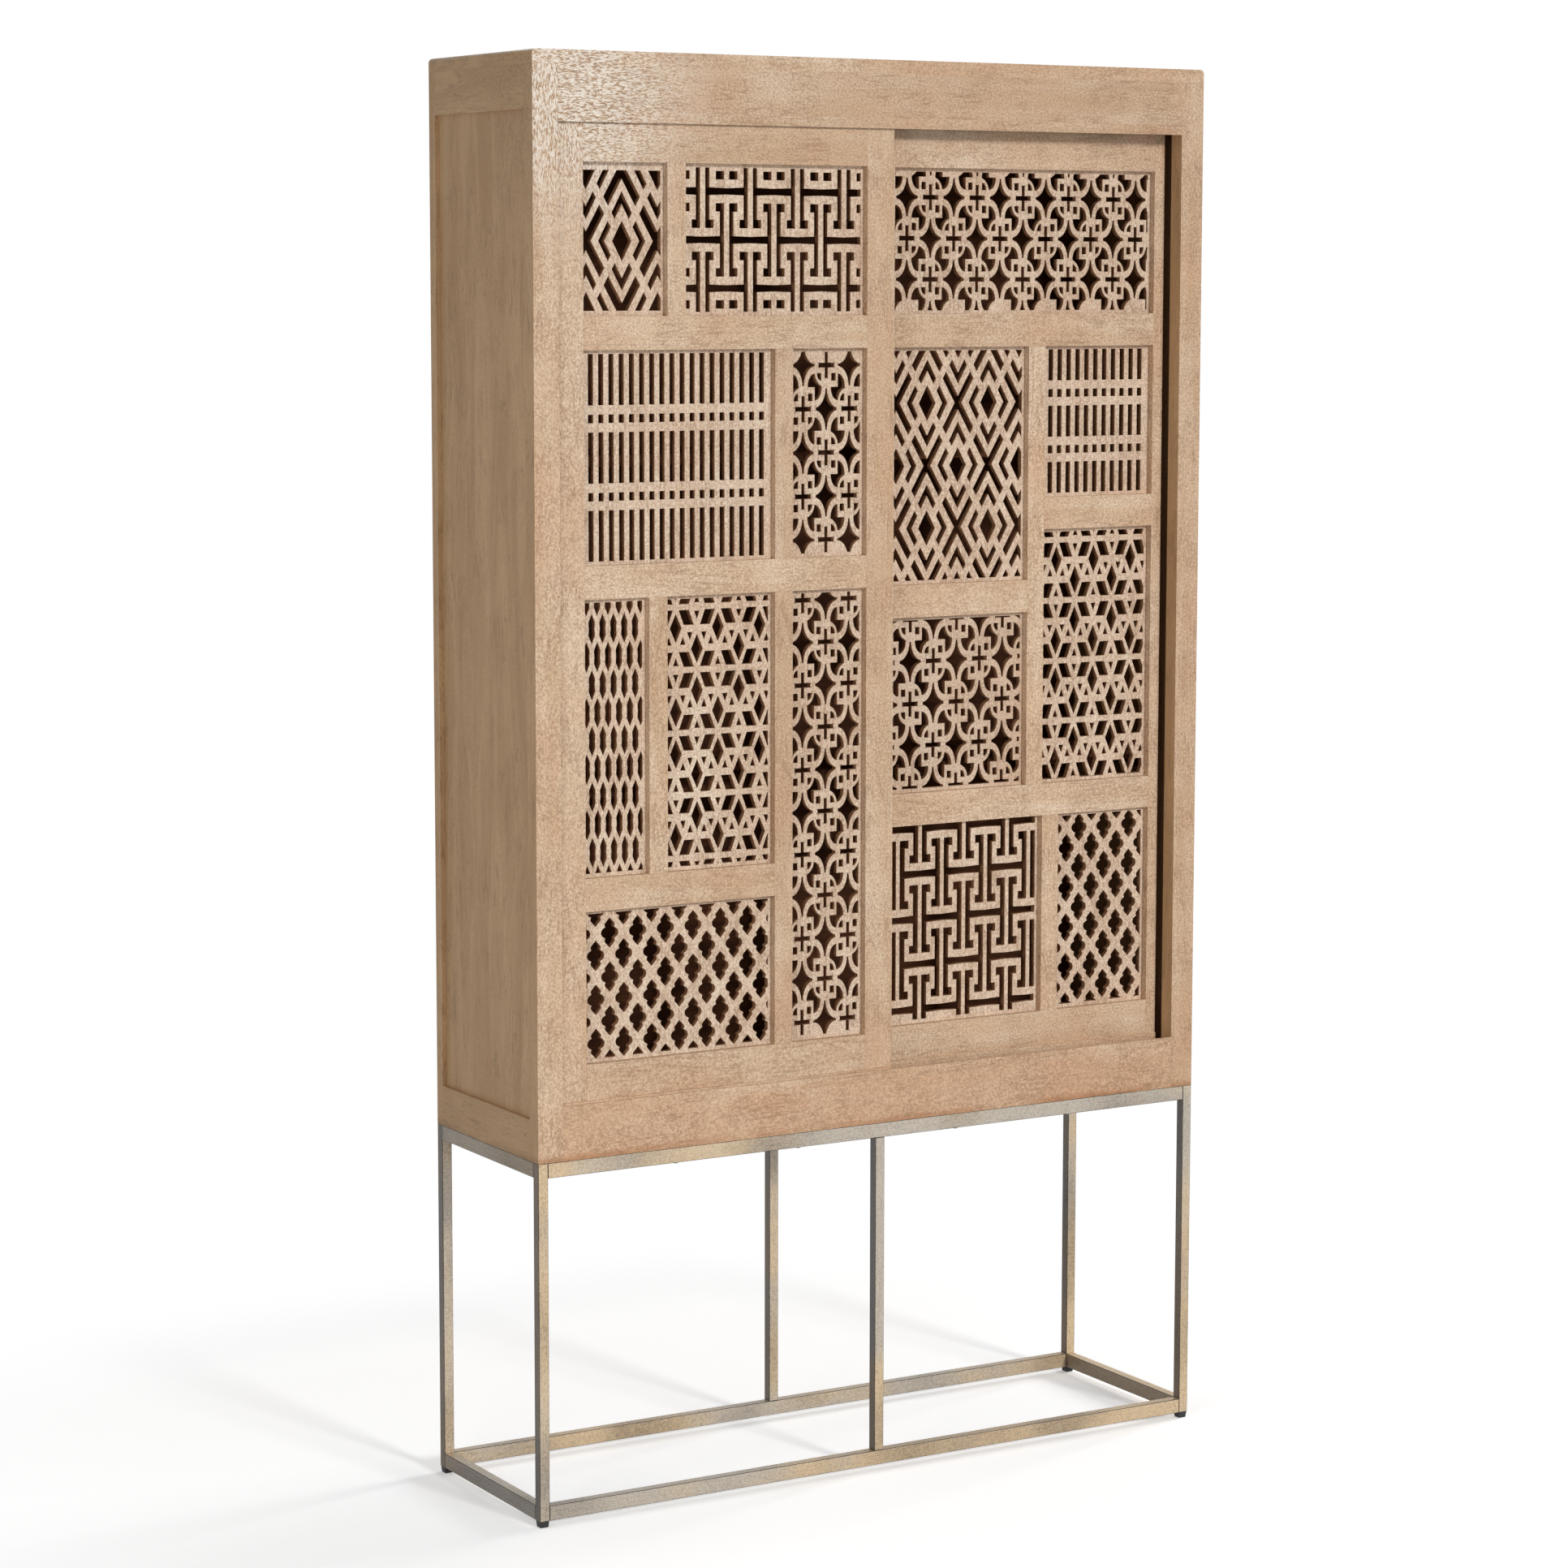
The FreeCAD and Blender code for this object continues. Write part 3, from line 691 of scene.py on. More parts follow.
@dataclass
class Workshop:
    """What the sub-assemblies share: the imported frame, the finishes and the random draws."""

    frame: dict[str, Any]
    finishes: Finishes
    draws: random.Random
    facing: float = 0.8
    weld: float = 1e-6
    flat: float = math.radians(1)
    sharp: float = math.radians(30)

    @staticmethod
    def add(name: str, mesh: Mesh, body: str, slot: str, nodes: tuple[str, ...] = ()) -> None:
        """Put a finished mesh on its body.

        Args:
            name: the piece's name.
            mesh: its mesh, in place.
            body: the body that it rides on.
            slot: the record's material slot; not used.
            nodes: the nodes that it stands for.
        """
        piece = stand(name, mesh)
        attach(piece, body)
        if nodes:
            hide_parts(*nodes)
        LOG.info("%s rides on %s with %d faces", name, body, len(mesh.polygons))

    def number_boards(self, mesh: Mesh) -> None:
        """Give each loose board of a mesh a random number of its own.

        Args:
            mesh: the mesh, which gets the numbers as an attribute of its points.
        """
        shape = bmesh.new()
        shape.from_mesh(mesh)
        numbers = [0.0] * len(shape.verts)
        seen: set[int] = set()
        for first in shape.verts:
            if first.index in seen:
                continue
            number = self.draws.random()
            stack = [first]
            seen.add(first.index)
            while stack:
                corner = stack.pop()
                numbers[corner.index] = number
                near = [edge.other_vert(corner) for edge in corner.link_edges]
                fresh = [vert for vert in near if vert.index not in seen]
                seen.update(vert.index for vert in fresh)
                stack.extend(fresh)
        shape.free()
        mesh.attributes.new("board", "FLOAT", "POINT").data.foreach_set("value", numbers)

    def eased(self, node: str, ease: float, material: Material, slot: str, edge: Material | None = None,
              side: Material | None = None, rear: Material | None = None) -> None:
        """Stand a copy of a node with eased edges in its place.

        Args:
            node: the node.
            ease: how far its outer edges are eased, in metres.
            material: its finish.
            slot: the record's material slot.
            edge: the finish of its eased edges, if they have their own.
            side: the finish of the faces that look left or right, if they have their own.
            rear: the finish of the faces that look back, if they have their own.
        """
        source = self.frame["nodes"][node]
        shape = bmesh.new()
        shape.from_mesh(source.data)
        bmesh.ops.remove_doubles(shape, verts=shape.verts, dist=self.weld)
        bmesh.ops.dissolve_limit(shape, angle_limit=self.flat, verts=shape.verts, edges=shape.edges)
        outer = [line for line in shape.edges if line.is_manifold and line.is_convex
                 and line.calc_face_angle() > self.sharp]
        made = bmesh.ops.bevel(shape, geom=outer, offset=ease, offset_type="OFFSET", segments=2, profile=0.5,
                               affect="EDGES", clamp_overlap=True)
        shape.normal_update()
        mesh = bpy.data.meshes.new(node + "_eased")
        mesh.materials.append(material)
        shares = ((side, [face for face in shape.faces if abs(face.normal.x) > self.facing]),
                  (rear, [face for face in shape.faces if face.normal.y > self.facing]),
                  (edge, made["faces"]))
        for finish, faces in shares:
            if finish is not None:
                for face in faces:
                    face.material_index = len(mesh.materials)
                mesh.materials.append(finish)
        shape.to_mesh(mesh)
        shape.free()
        self.number_boards(mesh)
        self.add(node + "_eased", mesh, source["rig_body"], slot, (node,))


@dataclass
class TubeBase:
    """The welded stand: tubes, black glides and the screws that hold the case."""

    ease: float = 2.0 * MM
    glide_ease: float = 0.8 * MM
    upright: tuple[str, ...] = ("front_left_leg", "front_right_leg", "rear_left_leg", "rear_right_leg",
                                "middle_uprights")
    long: tuple[str, ...] = ("base_top_front_rail", "base_top_rear_rail", "base_bottom_front_rail",
                             "base_bottom_rear_rail")
    short: tuple[str, ...] = ("base_top_side_rails", "base_bottom_side_rails")
    screwed: tuple[str, ...] = ("base_top_front_rail", "base_top_rear_rail")
    screw_head: float = 4.2 * MM
    screw_height: float = 2.4 * MM
    screw_turns: int = 20
    screw_reach: float = 0.62
    screw_shares: tuple[float, ...] = (-1, -0.4, 0.4, 1)
    screw_profile: tuple[Point, ...] = ((1.0, -0.2), (1.0, 0.25), (0.9, 0.6), (0.65, 0.88), (0.42, 1.0),
                                        (0.36, 0.45))

    def build(self, shop: Workshop) -> None:
        """Build the tubes, the glides and the screws.

        Args:
            shop: the workshop.
        """
        runs = {Grain.ALONG_Z: self.upright, Grain.ALONG_X: self.long, Grain.ALONG_Y: self.short}
        for grain, nodes in runs.items():
            for node in nodes:
                # Each tube's left and right faces get the darker copy, which is painted shade.
                shop.eased(node, self.ease, shop.finishes.tube[grain], "tube_metal", edge=shop.finishes.edge,
                           side=shop.finishes.flank[grain])
        shop.eased("foot_glides", self.glide_ease, shop.finishes.glide, "glide_plastic")
        for node in self.screwed:
            self.screws(shop, node)

    def screws(self, shop: Workshop, node: str) -> None:
        """Set a row of screw heads under a rail.

        Args:
            shop: the workshop.
            node: the rail.
        """
        low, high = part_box(node)
        middle = (low + high) / 2
        reach = (high.x - low.x) / 2 * self.screw_reach
        shape = bmesh.new()
        for share in self.screw_shares:
            self.screw(shape, Vector((middle.x + reach * share, middle.y, low.z)))
        mesh = bpy.data.meshes.new(node + "_screws")
        shape.to_mesh(mesh)
        shape.free()
        mesh.materials.append(shop.finishes.screw)
        shop.add(node + "_screws", mesh, "case", "tube_metal")

    def screw(self, shape: bmesh.types.BMesh, place: Vector) -> None:
        """Turn one rounded head with a drive recess.

        Args:
            shape: the mesh that it goes in.
            place: the middle of its seat, with the head below.
        """
        turns = [math.tau * i / self.screw_turns for i in range(self.screw_turns)]
        rings = []
        for share, drop in self.screw_profile:
            reach = share * self.screw_head
            z = place.z - drop * self.screw_height
            ring = [(place.x + reach * math.cos(a), place.y + reach * math.sin(a), z) for a in turns]
            rings.append([shape.verts.new(corner) for corner in ring])
        for upper, lower in zip(rings, rings[1:]):
            for i in range(self.screw_turns):
                j = (i + 1) % self.screw_turns
                shape.faces.new((upper[i], lower[i], lower[j], upper[j]))
        shape.faces.new(rings[-1][::-1])
        shape.faces.new(rings[0])
        bmesh.ops.recalc_face_normals(shape, faces=shape.faces)


@dataclass
class CaseShell:
    """The case: posts, rails, panels, boards, lips and tracks."""

    ease: float = 0.28 * MM
    flush: float = 0.06 * MM
    board_ease: float = 0.9 * MM
    posts: tuple[str, ...] = ("front_left_post", "front_right_post")
    rails: tuple[str, ...] = ("front_top_rail", "front_bottom_rail", "upper_lip", "lower_lip", "top_board")
    side_posts: tuple[str, ...] = ("rear_left_post", "rear_right_post", "left_side_panel", "right_side_panel")
    side_rails: tuple[str, ...] = ("left_side_rails", "right_side_rails")
    rear_rails: tuple[str, ...] = ("rear_top_rail", "rear_bottom_rail")
    back: str = "back_panel"
    inside: tuple[str, ...] = ("floor_board", "head_board", "lower_shelf", "upper_shelf", "shelf_cleats",
                               "lower_track_ribs", "upper_track_ribs")

    def build(self, shop: Workshop) -> None:
        """Build the outside and the inside.

        Args:
            shop: the workshop.
        """
        wood, side, inner = shop.finishes.wood, shop.finishes.side, shop.finishes.inner
        # Faces that look left or right, and the side and rear pieces, take the darker side timber, which is
        # partly painted shade.
        runs = ((self.posts, self.ease, wood[Grain.ALONG_Z], side[Grain.ALONG_Z]),
                (self.rails, self.flush, wood[Grain.ALONG_X], side[Grain.ALONG_Y]),
                (self.side_posts, self.ease, side[Grain.ALONG_Z], None),
                (self.side_rails, self.ease, side[Grain.ALONG_Y], None),
                (self.rear_rails, self.ease, side[Grain.ALONG_X], None))
        for nodes, ease, material, ends in runs:
            for node in nodes:
                shop.eased(node, ease, material, "washed_wood", side=ends)
        shop.eased(self.back, self.board_ease, inner, "inner_wood", rear=side[Grain.ALONG_Z])
        for node in self.inside:
            shop.eased(node, self.board_ease, inner, "inner_wood")


@dataclass(frozen=True)
class Layer:
    """One closed outline of a fretwork drawing, sawn out or left standing."""

    outline: Outline
    sawn: bool = True


def rectangle(middle: Point, width: float, height: float) -> Outline:
    """Draw a rectangle about a point."""
    u, v = middle
    return [(u - width / 2, v - height / 2), (u + width / 2, v - height / 2),
            (u + width / 2, v + height / 2), (u - width / 2, v + height / 2)]


def arc(middle: Point, radii: Point, start: float, stop: float, steps: int) -> Outline:
    """Draw a stretch of an ellipse between two angles in degrees, with a number of steps."""
    angles = [math.radians(start + (stop - start) * i / steps) for i in range(steps + 1)]
    return [(middle[0] + radii[0] * math.cos(a), middle[1] + radii[1] * math.sin(a)) for a in angles]


def ellipse(middle: Point, radii: Point, steps: int) -> Outline:
    """Draw a whole ellipse."""
    return arc(middle, radii, 0, 360, steps)[:-1]


@dataclass
class FretPanel:
    """A thin plate with a sawn pattern. Sizes are in millimetres about the middle of the panel."""

    node: str
    tongue: float = 6.0
    border: float = 5.0
    top: float = 5.0
    bottom: float = 5.0
    ease: float = 0.55
    snap: float = 1e-3
    sharpest: float = 0.5
    width: float = 0.0
    height: float = 0.0

    def layers(self) -> Iterator[Layer]:
        """Draw the pattern, each layer over those before it."""
        raise NotImplementedError

    def field(self) -> Layer:
        """Draw the whole field inside the border."""
        return Layer(rectangle((0, 0), self.width, self.height))

    def lattice(self, pitch: float, row: float, rise: float = 0.0, shift: float = 0.0,
                spare: float = 1.0) -> Iterator[tuple[float, float, int]]:
        """Give points in rows, every other row moved by half a pitch.

        Args:
            pitch: the step in a row.
            row: the step between rows.
            rise: how far up the middle row is.
            shift: how far right it is.
            spare: how many steps past the field still count.

        Yields:
            Each point and the number of its row.
        """
        rows = math.ceil(self.height / row) + 1
        columns = math.ceil(self.width / pitch) + 1
        for j in range(-rows, rows + 1):
            for i in range(-columns, columns + 1):
                u = shift + (i + (0.5 if j % 2 else 0.0)) * pitch
                v = rise + j * row
                if abs(u) < self.width / 2 + spare * pitch and abs(v) < self.height / 2 + spare * row:
                    yield u, v, j

    def edges(self) -> Iterator[Layer]:
        """Leave the plain border standing.

        Yields:
            The layers.
        """
        wide = self.width + 2 * (self.border + self.tongue)
        tall = self.height + 2 * (self.border + self.tongue)
        beyond = max(wide, tall)
        for sign, plain in ((-1, self.bottom), (1, self.top)):
            middle_u = sign * (self.width / 2 + beyond / 2)
            middle_v = sign * (self.height / 2 + self.border - plain + beyond / 2)
            yield Layer(rectangle((middle_u, 0), beyond, tall), sawn=False)
            yield Layer(rectangle((0, middle_v), wide, beyond), sawn=False)

    def build(self, shop: Workshop) -> None:
        """Saw the panel and stand it in its node's place.

        Args:
            shop: the workshop.
        """
        low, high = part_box(self.node)
        self.width = (high.x - low.x) / MM - 2 * (self.tongue + self.border)
        self.height = (high.z - low.z) / MM - 2 * (self.tongue + self.border)
        plate = rectangle((0, 0), (high.x - low.x) / MM, (high.z - low.z) / MM)
        places, triangles = self.saw([Layer(plate, sawn=False), *self.layers(), *self.edges()])
        mesh = self.thicken(places, triangles, low, high)
        mesh.materials.append(shop.finishes.fret)
        mesh.materials.append(shop.finishes.sawn)
        shop.number_boards(mesh)
        body = shop.frame["nodes"][self.node]["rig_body"]
        shop.add(self.node + "_sawn", mesh, body, "fret_wood", (self.node,))

    def saw(self, drawing: list[Layer]) -> tuple[list[Point], list[list[int]]]:
        """Lay the layers over each other and keep what still stands.

        Args:
            drawing: the layers, the plate first.

        Returns:
            The points, and the triangles of the wood that is left.
        """
        points: list[Vector] = []
        faces: list[list[int]] = []
        for layer in drawing:
            ring = [Vector(point) for point in layer.outline]
            area = sum(a.x * b.y - b.x * a.y for a, b in zip(ring, ring[1:] + ring[:1]))
            if area < 0:
                ring.reverse()
            faces.append(list(range(len(points), len(points) + len(ring))))
            points.extend(ring)
        places, _, triangles, _, _, owners = geometry.delaunay_2d_cdt(points, [], faces, 0, self.snap)
        kept = [triangle for triangle, over in zip(triangles, owners)
                if 0 in over and not drawing[max(over)].sawn]
        return [(place.x, place.y) for place in places], kept

    def thicken(self, places: list[Point], triangles: list[list[int]], low: Vector, high: Vector) -> Mesh:
        """Turn flat wood into a plate with eased front edges.

        Args:
            places: the points of the flat wood.
            triangles: its triangles.
            low: the lowest corner of the node.
            high: its highest corner.

        Returns:
            The mesh, with the walls of the openings in the second material.
        """
        sides = {(t[i], t[i - 2]) for t in triangles for i in range(3)}
        rim = sorted((a, b) for a, b in sides if (b, a) not in sides)
        ahead: dict[int, list[int]] = {}
        behind: dict[int, list[int]] = {}
        for a, b in rim:
            ahead.setdefault(a, []).append(b)
            behind.setdefault(b, []).append(a)
        front: dict[int, int] = {}
        wall: dict[int, int] = {}
        back: dict[int, int] = {}
        middle = (low + high) / 2
        corners: list[Place] = []
        for i in sorted({i for t in triangles for i in t}):
            moved = self.inset(places, i, ahead.get(i, []), behind.get(i, []))
            front[i] = len(corners)
            corners.append((middle.x + moved[0] * MM, low.y, middle.z + moved[1] * MM))
            here = (middle.x + places[i][0] * MM, middle.z + places[i][1] * MM)
            if i in ahead:
                wall[i] = len(corners)
                corners.append((here[0], low.y + self.ease * MM, here[1]))
            back[i] = len(corners)
            corners.append((here[0], high.y, here[1]))
        faces = [[front[i] for i in t] for t in triangles]
        faces += [[back[i] for i in reversed(t)] for t in triangles]
        faces += [[front[b], front[a], wall[a], wall[b]] for a, b in rim]
        walls = [[wall[b], wall[a], back[a], back[b]] for a, b in rim]
        mesh = bpy.data.meshes.new(self.node + "_sawn")
        mesh.from_pydata(corners, [], faces + walls)
        mesh.polygons.foreach_set("material_index", [0] * len(faces) + [1] * len(walls))
        mesh.validate()
        return mesh

    def inset(self, places: list[Point], here: int, ahead: list[int], behind: list[int]) -> Point:
        """Move a rim point into the wood by the ease.

        Args:
            places: the points.
            here: the point's number.
            ahead: the points that follow it on the rim.
            behind: the points before it.

        Returns:
            The place of the point on the front.
        """
        place = Vector(places[here])
        if len(ahead) != 1 or len(behind) != 1:
            return places[here]
        after = (Vector(places[ahead[0]]) - place).normalized()
        before = (place - Vector(places[behind[0]])).normalized()
        normals = Vector((-after.y, after.x)), Vector((-before.y, before.x))
        share = max(1 + normals[0].dot(normals[1]), self.sharpest)
        moved = place + (normals[0] + normals[1]) / share * self.ease
        return (moved.x, moved.y)


@dataclass
class LozengePanel(FretPanel):
    """Concentric lozenges crossed by their own diagonals."""

    half_width: float = 51.9
    half_height: float = 88.4
    rise: float = 0.0
    cross: float = 0.446
    ring: Point = (0.245, 0.328)
    core: float = 0.134
    bar: float = 0.055
    tall: float = 1.06

    def skewed(self, s: Point, t: Point) -> Outline:
        """Draw a block of the skewed grid between two values on each of its axes."""
        corners = [(s[0], t[0]), (s[1], t[0]), (s[1], t[1]), (s[0], t[1])]
        return [((a + b) * self.half_width, self.rise + (a - b) * self.half_height) for a, b in corners]

    def diamond(self, i: int, j: int, half: float, tall: float) -> Outline:
        """Draw a lozenge about the middle of a cell, stretched upwards by a share.

        Args:
            i: the cell's number on the first axis.
            j: its number on the second axis.
            half: the lozenge's half-width as a share of the cell's width.
            tall: how far it is stretched.

        Returns:
            Its corners.
        """
        u = (i + j) * self.half_width
        v = self.rise + (i - j) * self.half_height
        wide = 2 * half * self.half_width
        high = 2 * half * self.half_height * tall
        return [(u - wide, v), (u, v - high), (u + wide, v), (u, v + high)]

    def layers(self) -> Iterator[Layer]:
        """Saw the field, then lay rings, bars and cores over it.

        Yields:
            The layers.
        """
        yield self.field()
        reach = math.ceil(self.height / self.half_height) + math.ceil(self.width / self.half_width)
        steps = [(i, j) for i in range(-reach, reach + 1) for j in range(-reach, reach + 1)
                 if abs(i + j) * self.half_width < self.width / 2 + self.half_width
                 and abs(i - j) * self.half_height < self.height / 2 + self.half_height]
        rings = (self.cross, 1.0, False), (self.ring[1], self.tall, True), (self.ring[0], self.tall, False)
        for half, tall, sawn in rings:
            for i, j in steps:
                yield Layer(self.diamond(i, j, half, tall), sawn)
        for i in sorted({i for i, j in steps}):
            yield Layer(self.skewed((i - self.bar, i + self.bar), (-reach, reach)), sawn=False)
            yield Layer(self.skewed((-reach, reach), (i - self.bar, i + self.bar)), sawn=False)
        for i, j in steps:
            yield Layer(self.diamond(i, j, self.core, self.tall))


@dataclass
class KeyFretPanel(FretPanel):
    """Interlocked H-shaped slots with hooked ends."""

    pitch: float = 74.7
    row: float = 65.5
    rise: float = 0.0
    slot: float = 30.0
    slot_width: float = 6.5
    half_height: float = 49.5
    bar: float = 10.4
    bar_bow: float = 1.0
    hook: Point = (6.3, 11.3)
    spare: float = 1.2
    hook_rows: float = 0.9

    def layers(self) -> Iterator[Layer]:
        """Saw the slots, the bars and the hooks.

        Yields:
            The layers.
        """
        inside = self.slot - self.slot_width / 2
        outside = self.slot + self.slot_width / 2
        half = self.bar / 2
        thin = half - self.bar_bow
        hook = (self.slot_width + self.hook[0], self.hook[1])
        for u, v, _ in self.lattice(self.pitch, self.row, self.rise, self.pitch / 2, self.spare):
            if abs(v) > self.height / 2 + self.row * self.hook_rows:
                continue
            whole = abs(v) < self.height / 2
            for sign in SIGNS:
                if whole:
                    yield Layer(rectangle((u + sign * self.slot, v), self.slot_width, self.half_height * 2))
                for end in SIGNS:
                    middle = (u + sign * (outside - hook[0] / 2), v + end * (self.half_height - hook[1] / 2))
                    yield Layer(rectangle(middle, *hook))
            if whole:
                yield Layer([(u - inside, v - half), (u, v - thin), (u + inside, v - half),
                             (u + inside, v + half), (u, v + thin), (u - inside, v + half)])


@dataclass
class SlatPanel(FretPanel):
    """Three rows of upright slots with two rows of small squares between them."""

    pitch: float = 15.6
    slot_width: float = 7.6
    square: float = 11.3
    gap: float = 12.6
    rows: int = 3

    def layers(self) -> Iterator[Layer]:
        """Saw the slots and the squares.

        Yields:
            The layers.
        """
        columns = int(self.width // self.pitch)
        bands = self.rows - 1
        slot = (self.height - bands * (self.square + self.gap * 2)) / self.rows
        step = slot + self.square + self.gap * 2
        for i in range(columns):
            u = (i - (columns - 1) / 2) * self.pitch
            for count, tall in ((self.rows, slot), (bands, self.square)):
                for j in range(count):
                    yield Layer(rectangle((u, (j - (count - 1) / 2) * step), self.slot_width, tall))


@dataclass
class RingPanel(FretPanel):
    """Rings on a grid: pointed stars between them, in turn with crosses on solid blocks."""

    column: float = 37.4
    row: float = 60.4
    star_first: bool = False
    rise: float = 0.0
    outer: float = 0.945
    inner: float = 0.61
    overlap: float = 1.0
    corner: Point = (17.5, 19.5)
    neck: Point = (4.0, 3.4)
    neck_shares: Point = (0.24, 0.3)
    cross: Point = (12.7, 17.9)
    cross_bars: Point = (4.9, 6.4)
    small: Point = (7.0, 10.2)
    small_place: Point = (11.6, 16.2)
    small_start: float = 20.0
    steps: int = 36
    corner_steps: int = 8
    small_steps: int = 6
    star_steps: int = 10
    digits: int = 3
    closed: bool = False
    cut_crosses: bool = False

    def block(self, u: float, v: float, lean: int) -> Outline:
        """Draw the block of a cross, two of its opposite corners rounded.

        Args:
            u: how far right its middle is.
            v: how far up its middle is.
            lean: 1 where the upper right corner is rounded, -1 where the upper left one is.

        Returns:
            The outline.
        """
        half_u = self.column / 2
        half_v = self.row / 2
        middle = (half_u - self.corner[0], half_v - self.corner[1])
        upper = [*arc(middle, self.corner, 0, 90, self.corner_steps), (-half_u, half_v)]
        whole = upper + [(-a, -b) for a, b in upper]
        return [(u + a * lean, v + b) for a, b in whole]

    def squares(self, u: float, v: float, lean: int) -> Iterator[Layer]:
        """Saw the four small openings of a cross, two of them with a rounded side.

        Args:
            u: how far right the cross is.
            v: how far up it is.
            lean: the lean of its block.

        Yields:
            The openings.
        """
        wide, tall = self.small
        low = (-wide / 2, -tall / 2)
        for sign_u in SIGNS:
            for sign_v in SIGNS:
                corners = [low, (wide / 2, -tall / 2)]
                if sign_u * sign_v * lean > 0:
                    corners += arc(low, self.small, self.small_start, 90, self.small_steps)
                else:
                    corners += [(wide / 2, tall / 2), (-wide / 2, tall / 2)]
                middle = (u + sign_u * self.small_place[0], v + sign_v * self.small_place[1])
                yield Layer([(middle[0] + a * sign_u, middle[1] + b * sign_v) for a, b in corners])

    def ends(self, crosses: list[tuple[float, float, int]]) -> Iterator[Layer]:
        """Close the field beyond its outermost rows, past half a star and half a cross in turn.

        Args:
            crosses: the crosses and their leans.

        Yields:
            The plain wood, then the halves that are sawn into it.
        """
        rows = sorted({v for _, v, _ in crosses if abs(v) < self.height / 2})
        radii = (self.column / 2 * self.outer, self.row / 2 * self.outer)
        quarter = arc((-self.column / 2, self.row / 2), radii, -90, 0, self.star_steps)
        star = [(-self.column / 2, -self.overlap), *quarter]
        star += [(-a, b) for a, b in reversed(star)]
        long, thick = self.cross[1], self.cross_bars[1]
        for level, sign in ((rows[0], -1), (rows[-1], 1)):
            yield Layer(rectangle((0, level + sign * self.row / 2), self.width, self.row), sawn=False)
            for u, v, _ in crosses:
                if v == level:
                    yield Layer(rectangle((u, v + sign * long / 2), self.cross_bars[0], long))
                    yield Layer(rectangle((u, v + sign * thick / 4), self.cross[0] * 2, thick / 2))
                    for far in (self.column, -self.column):
                        yield Layer([(u + far + a, v + sign * b) for a, b in star])

    def layers(self) -> Iterator[Layer]:
        """Saw the field, then lay rings, blocks and crosses over it.

        Yields:
            The layers.
        """
        yield self.field()
        start = self.column if self.star_first else 0.0
        crosses = [(u, v, 1 if (j % 2 == 0) != self.star_first else -1)
                   for u, v, j in self.lattice(self.column * 2, self.row, self.rise, start)]
        corners = {(round(u + a * self.column / 2, self.digits), round(v + b * self.row / 2, self.digits))
                   for u, v, _ in crosses for a in SIGNS for b in SIGNS}
        for share, sawn in ((self.outer, False), (self.inner, True)):
            radii = (self.column / 2 * share, self.row / 2 * share)
            for corner in sorted(corners):
                yield Layer(ellipse(corner, radii, self.steps), sawn)
        tall, wide = self.row * self.neck_shares[0], self.column * self.neck_shares[1]
        for u, v, lean in crosses:
            for a in SIGNS:
                yield Layer(rectangle((u + a * self.column / 2, v), self.neck[0], tall), sawn=False)
                yield Layer(rectangle((u, v + a * self.row / 2), wide, self.neck[1]), sawn=False)
            yield Layer(self.block(u, v, lean), sawn=False)
        for u, v, lean in crosses:
            if abs(v) <= self.height / 2 or self.cut_crosses:
                yield Layer(rectangle((u, v), self.cross[0] * 2, self.cross_bars[1]))
                yield Layer(rectangle((u, v), self.cross_bars[0], self.cross[1] * 2))
                yield from self.squares(u, v, lean)
        if self.closed:
            yield from self.ends(crosses)


@dataclass
class WavePanel(FretPanel):
    """Upright openings with two bulges and pointed ends, interleaved."""

    pitch: float = 16.65
    row: float = 38.1
    drop: float = 3.5
    tip: float = 20.4
    bulge: Point = (4.9, 9.5)
    bulge_shares: tuple[Point, ...] = ((0.86, 1.12), (1.0, 0.9), (0.97, 0.6))
    waist: float = 4.2

    def layers(self) -> Iterator[Layer]:
        """Saw the openings.

        Yields:
            The layers.
        """
        upper = [(-self.bulge[0] * a, self.bulge[1] * b) for a, b in self.bulge_shares]
        half = [(0.0, self.tip), *upper, (-self.waist, 0.0), *((a, -b) for a, b in reversed(upper))]
        whole = half + [(-a, -b) for a, b in half]
        for u, v, _ in self.lattice(self.pitch, self.row, -self.drop):
            yield Layer([(u + a, v + b) for a, b in whole])


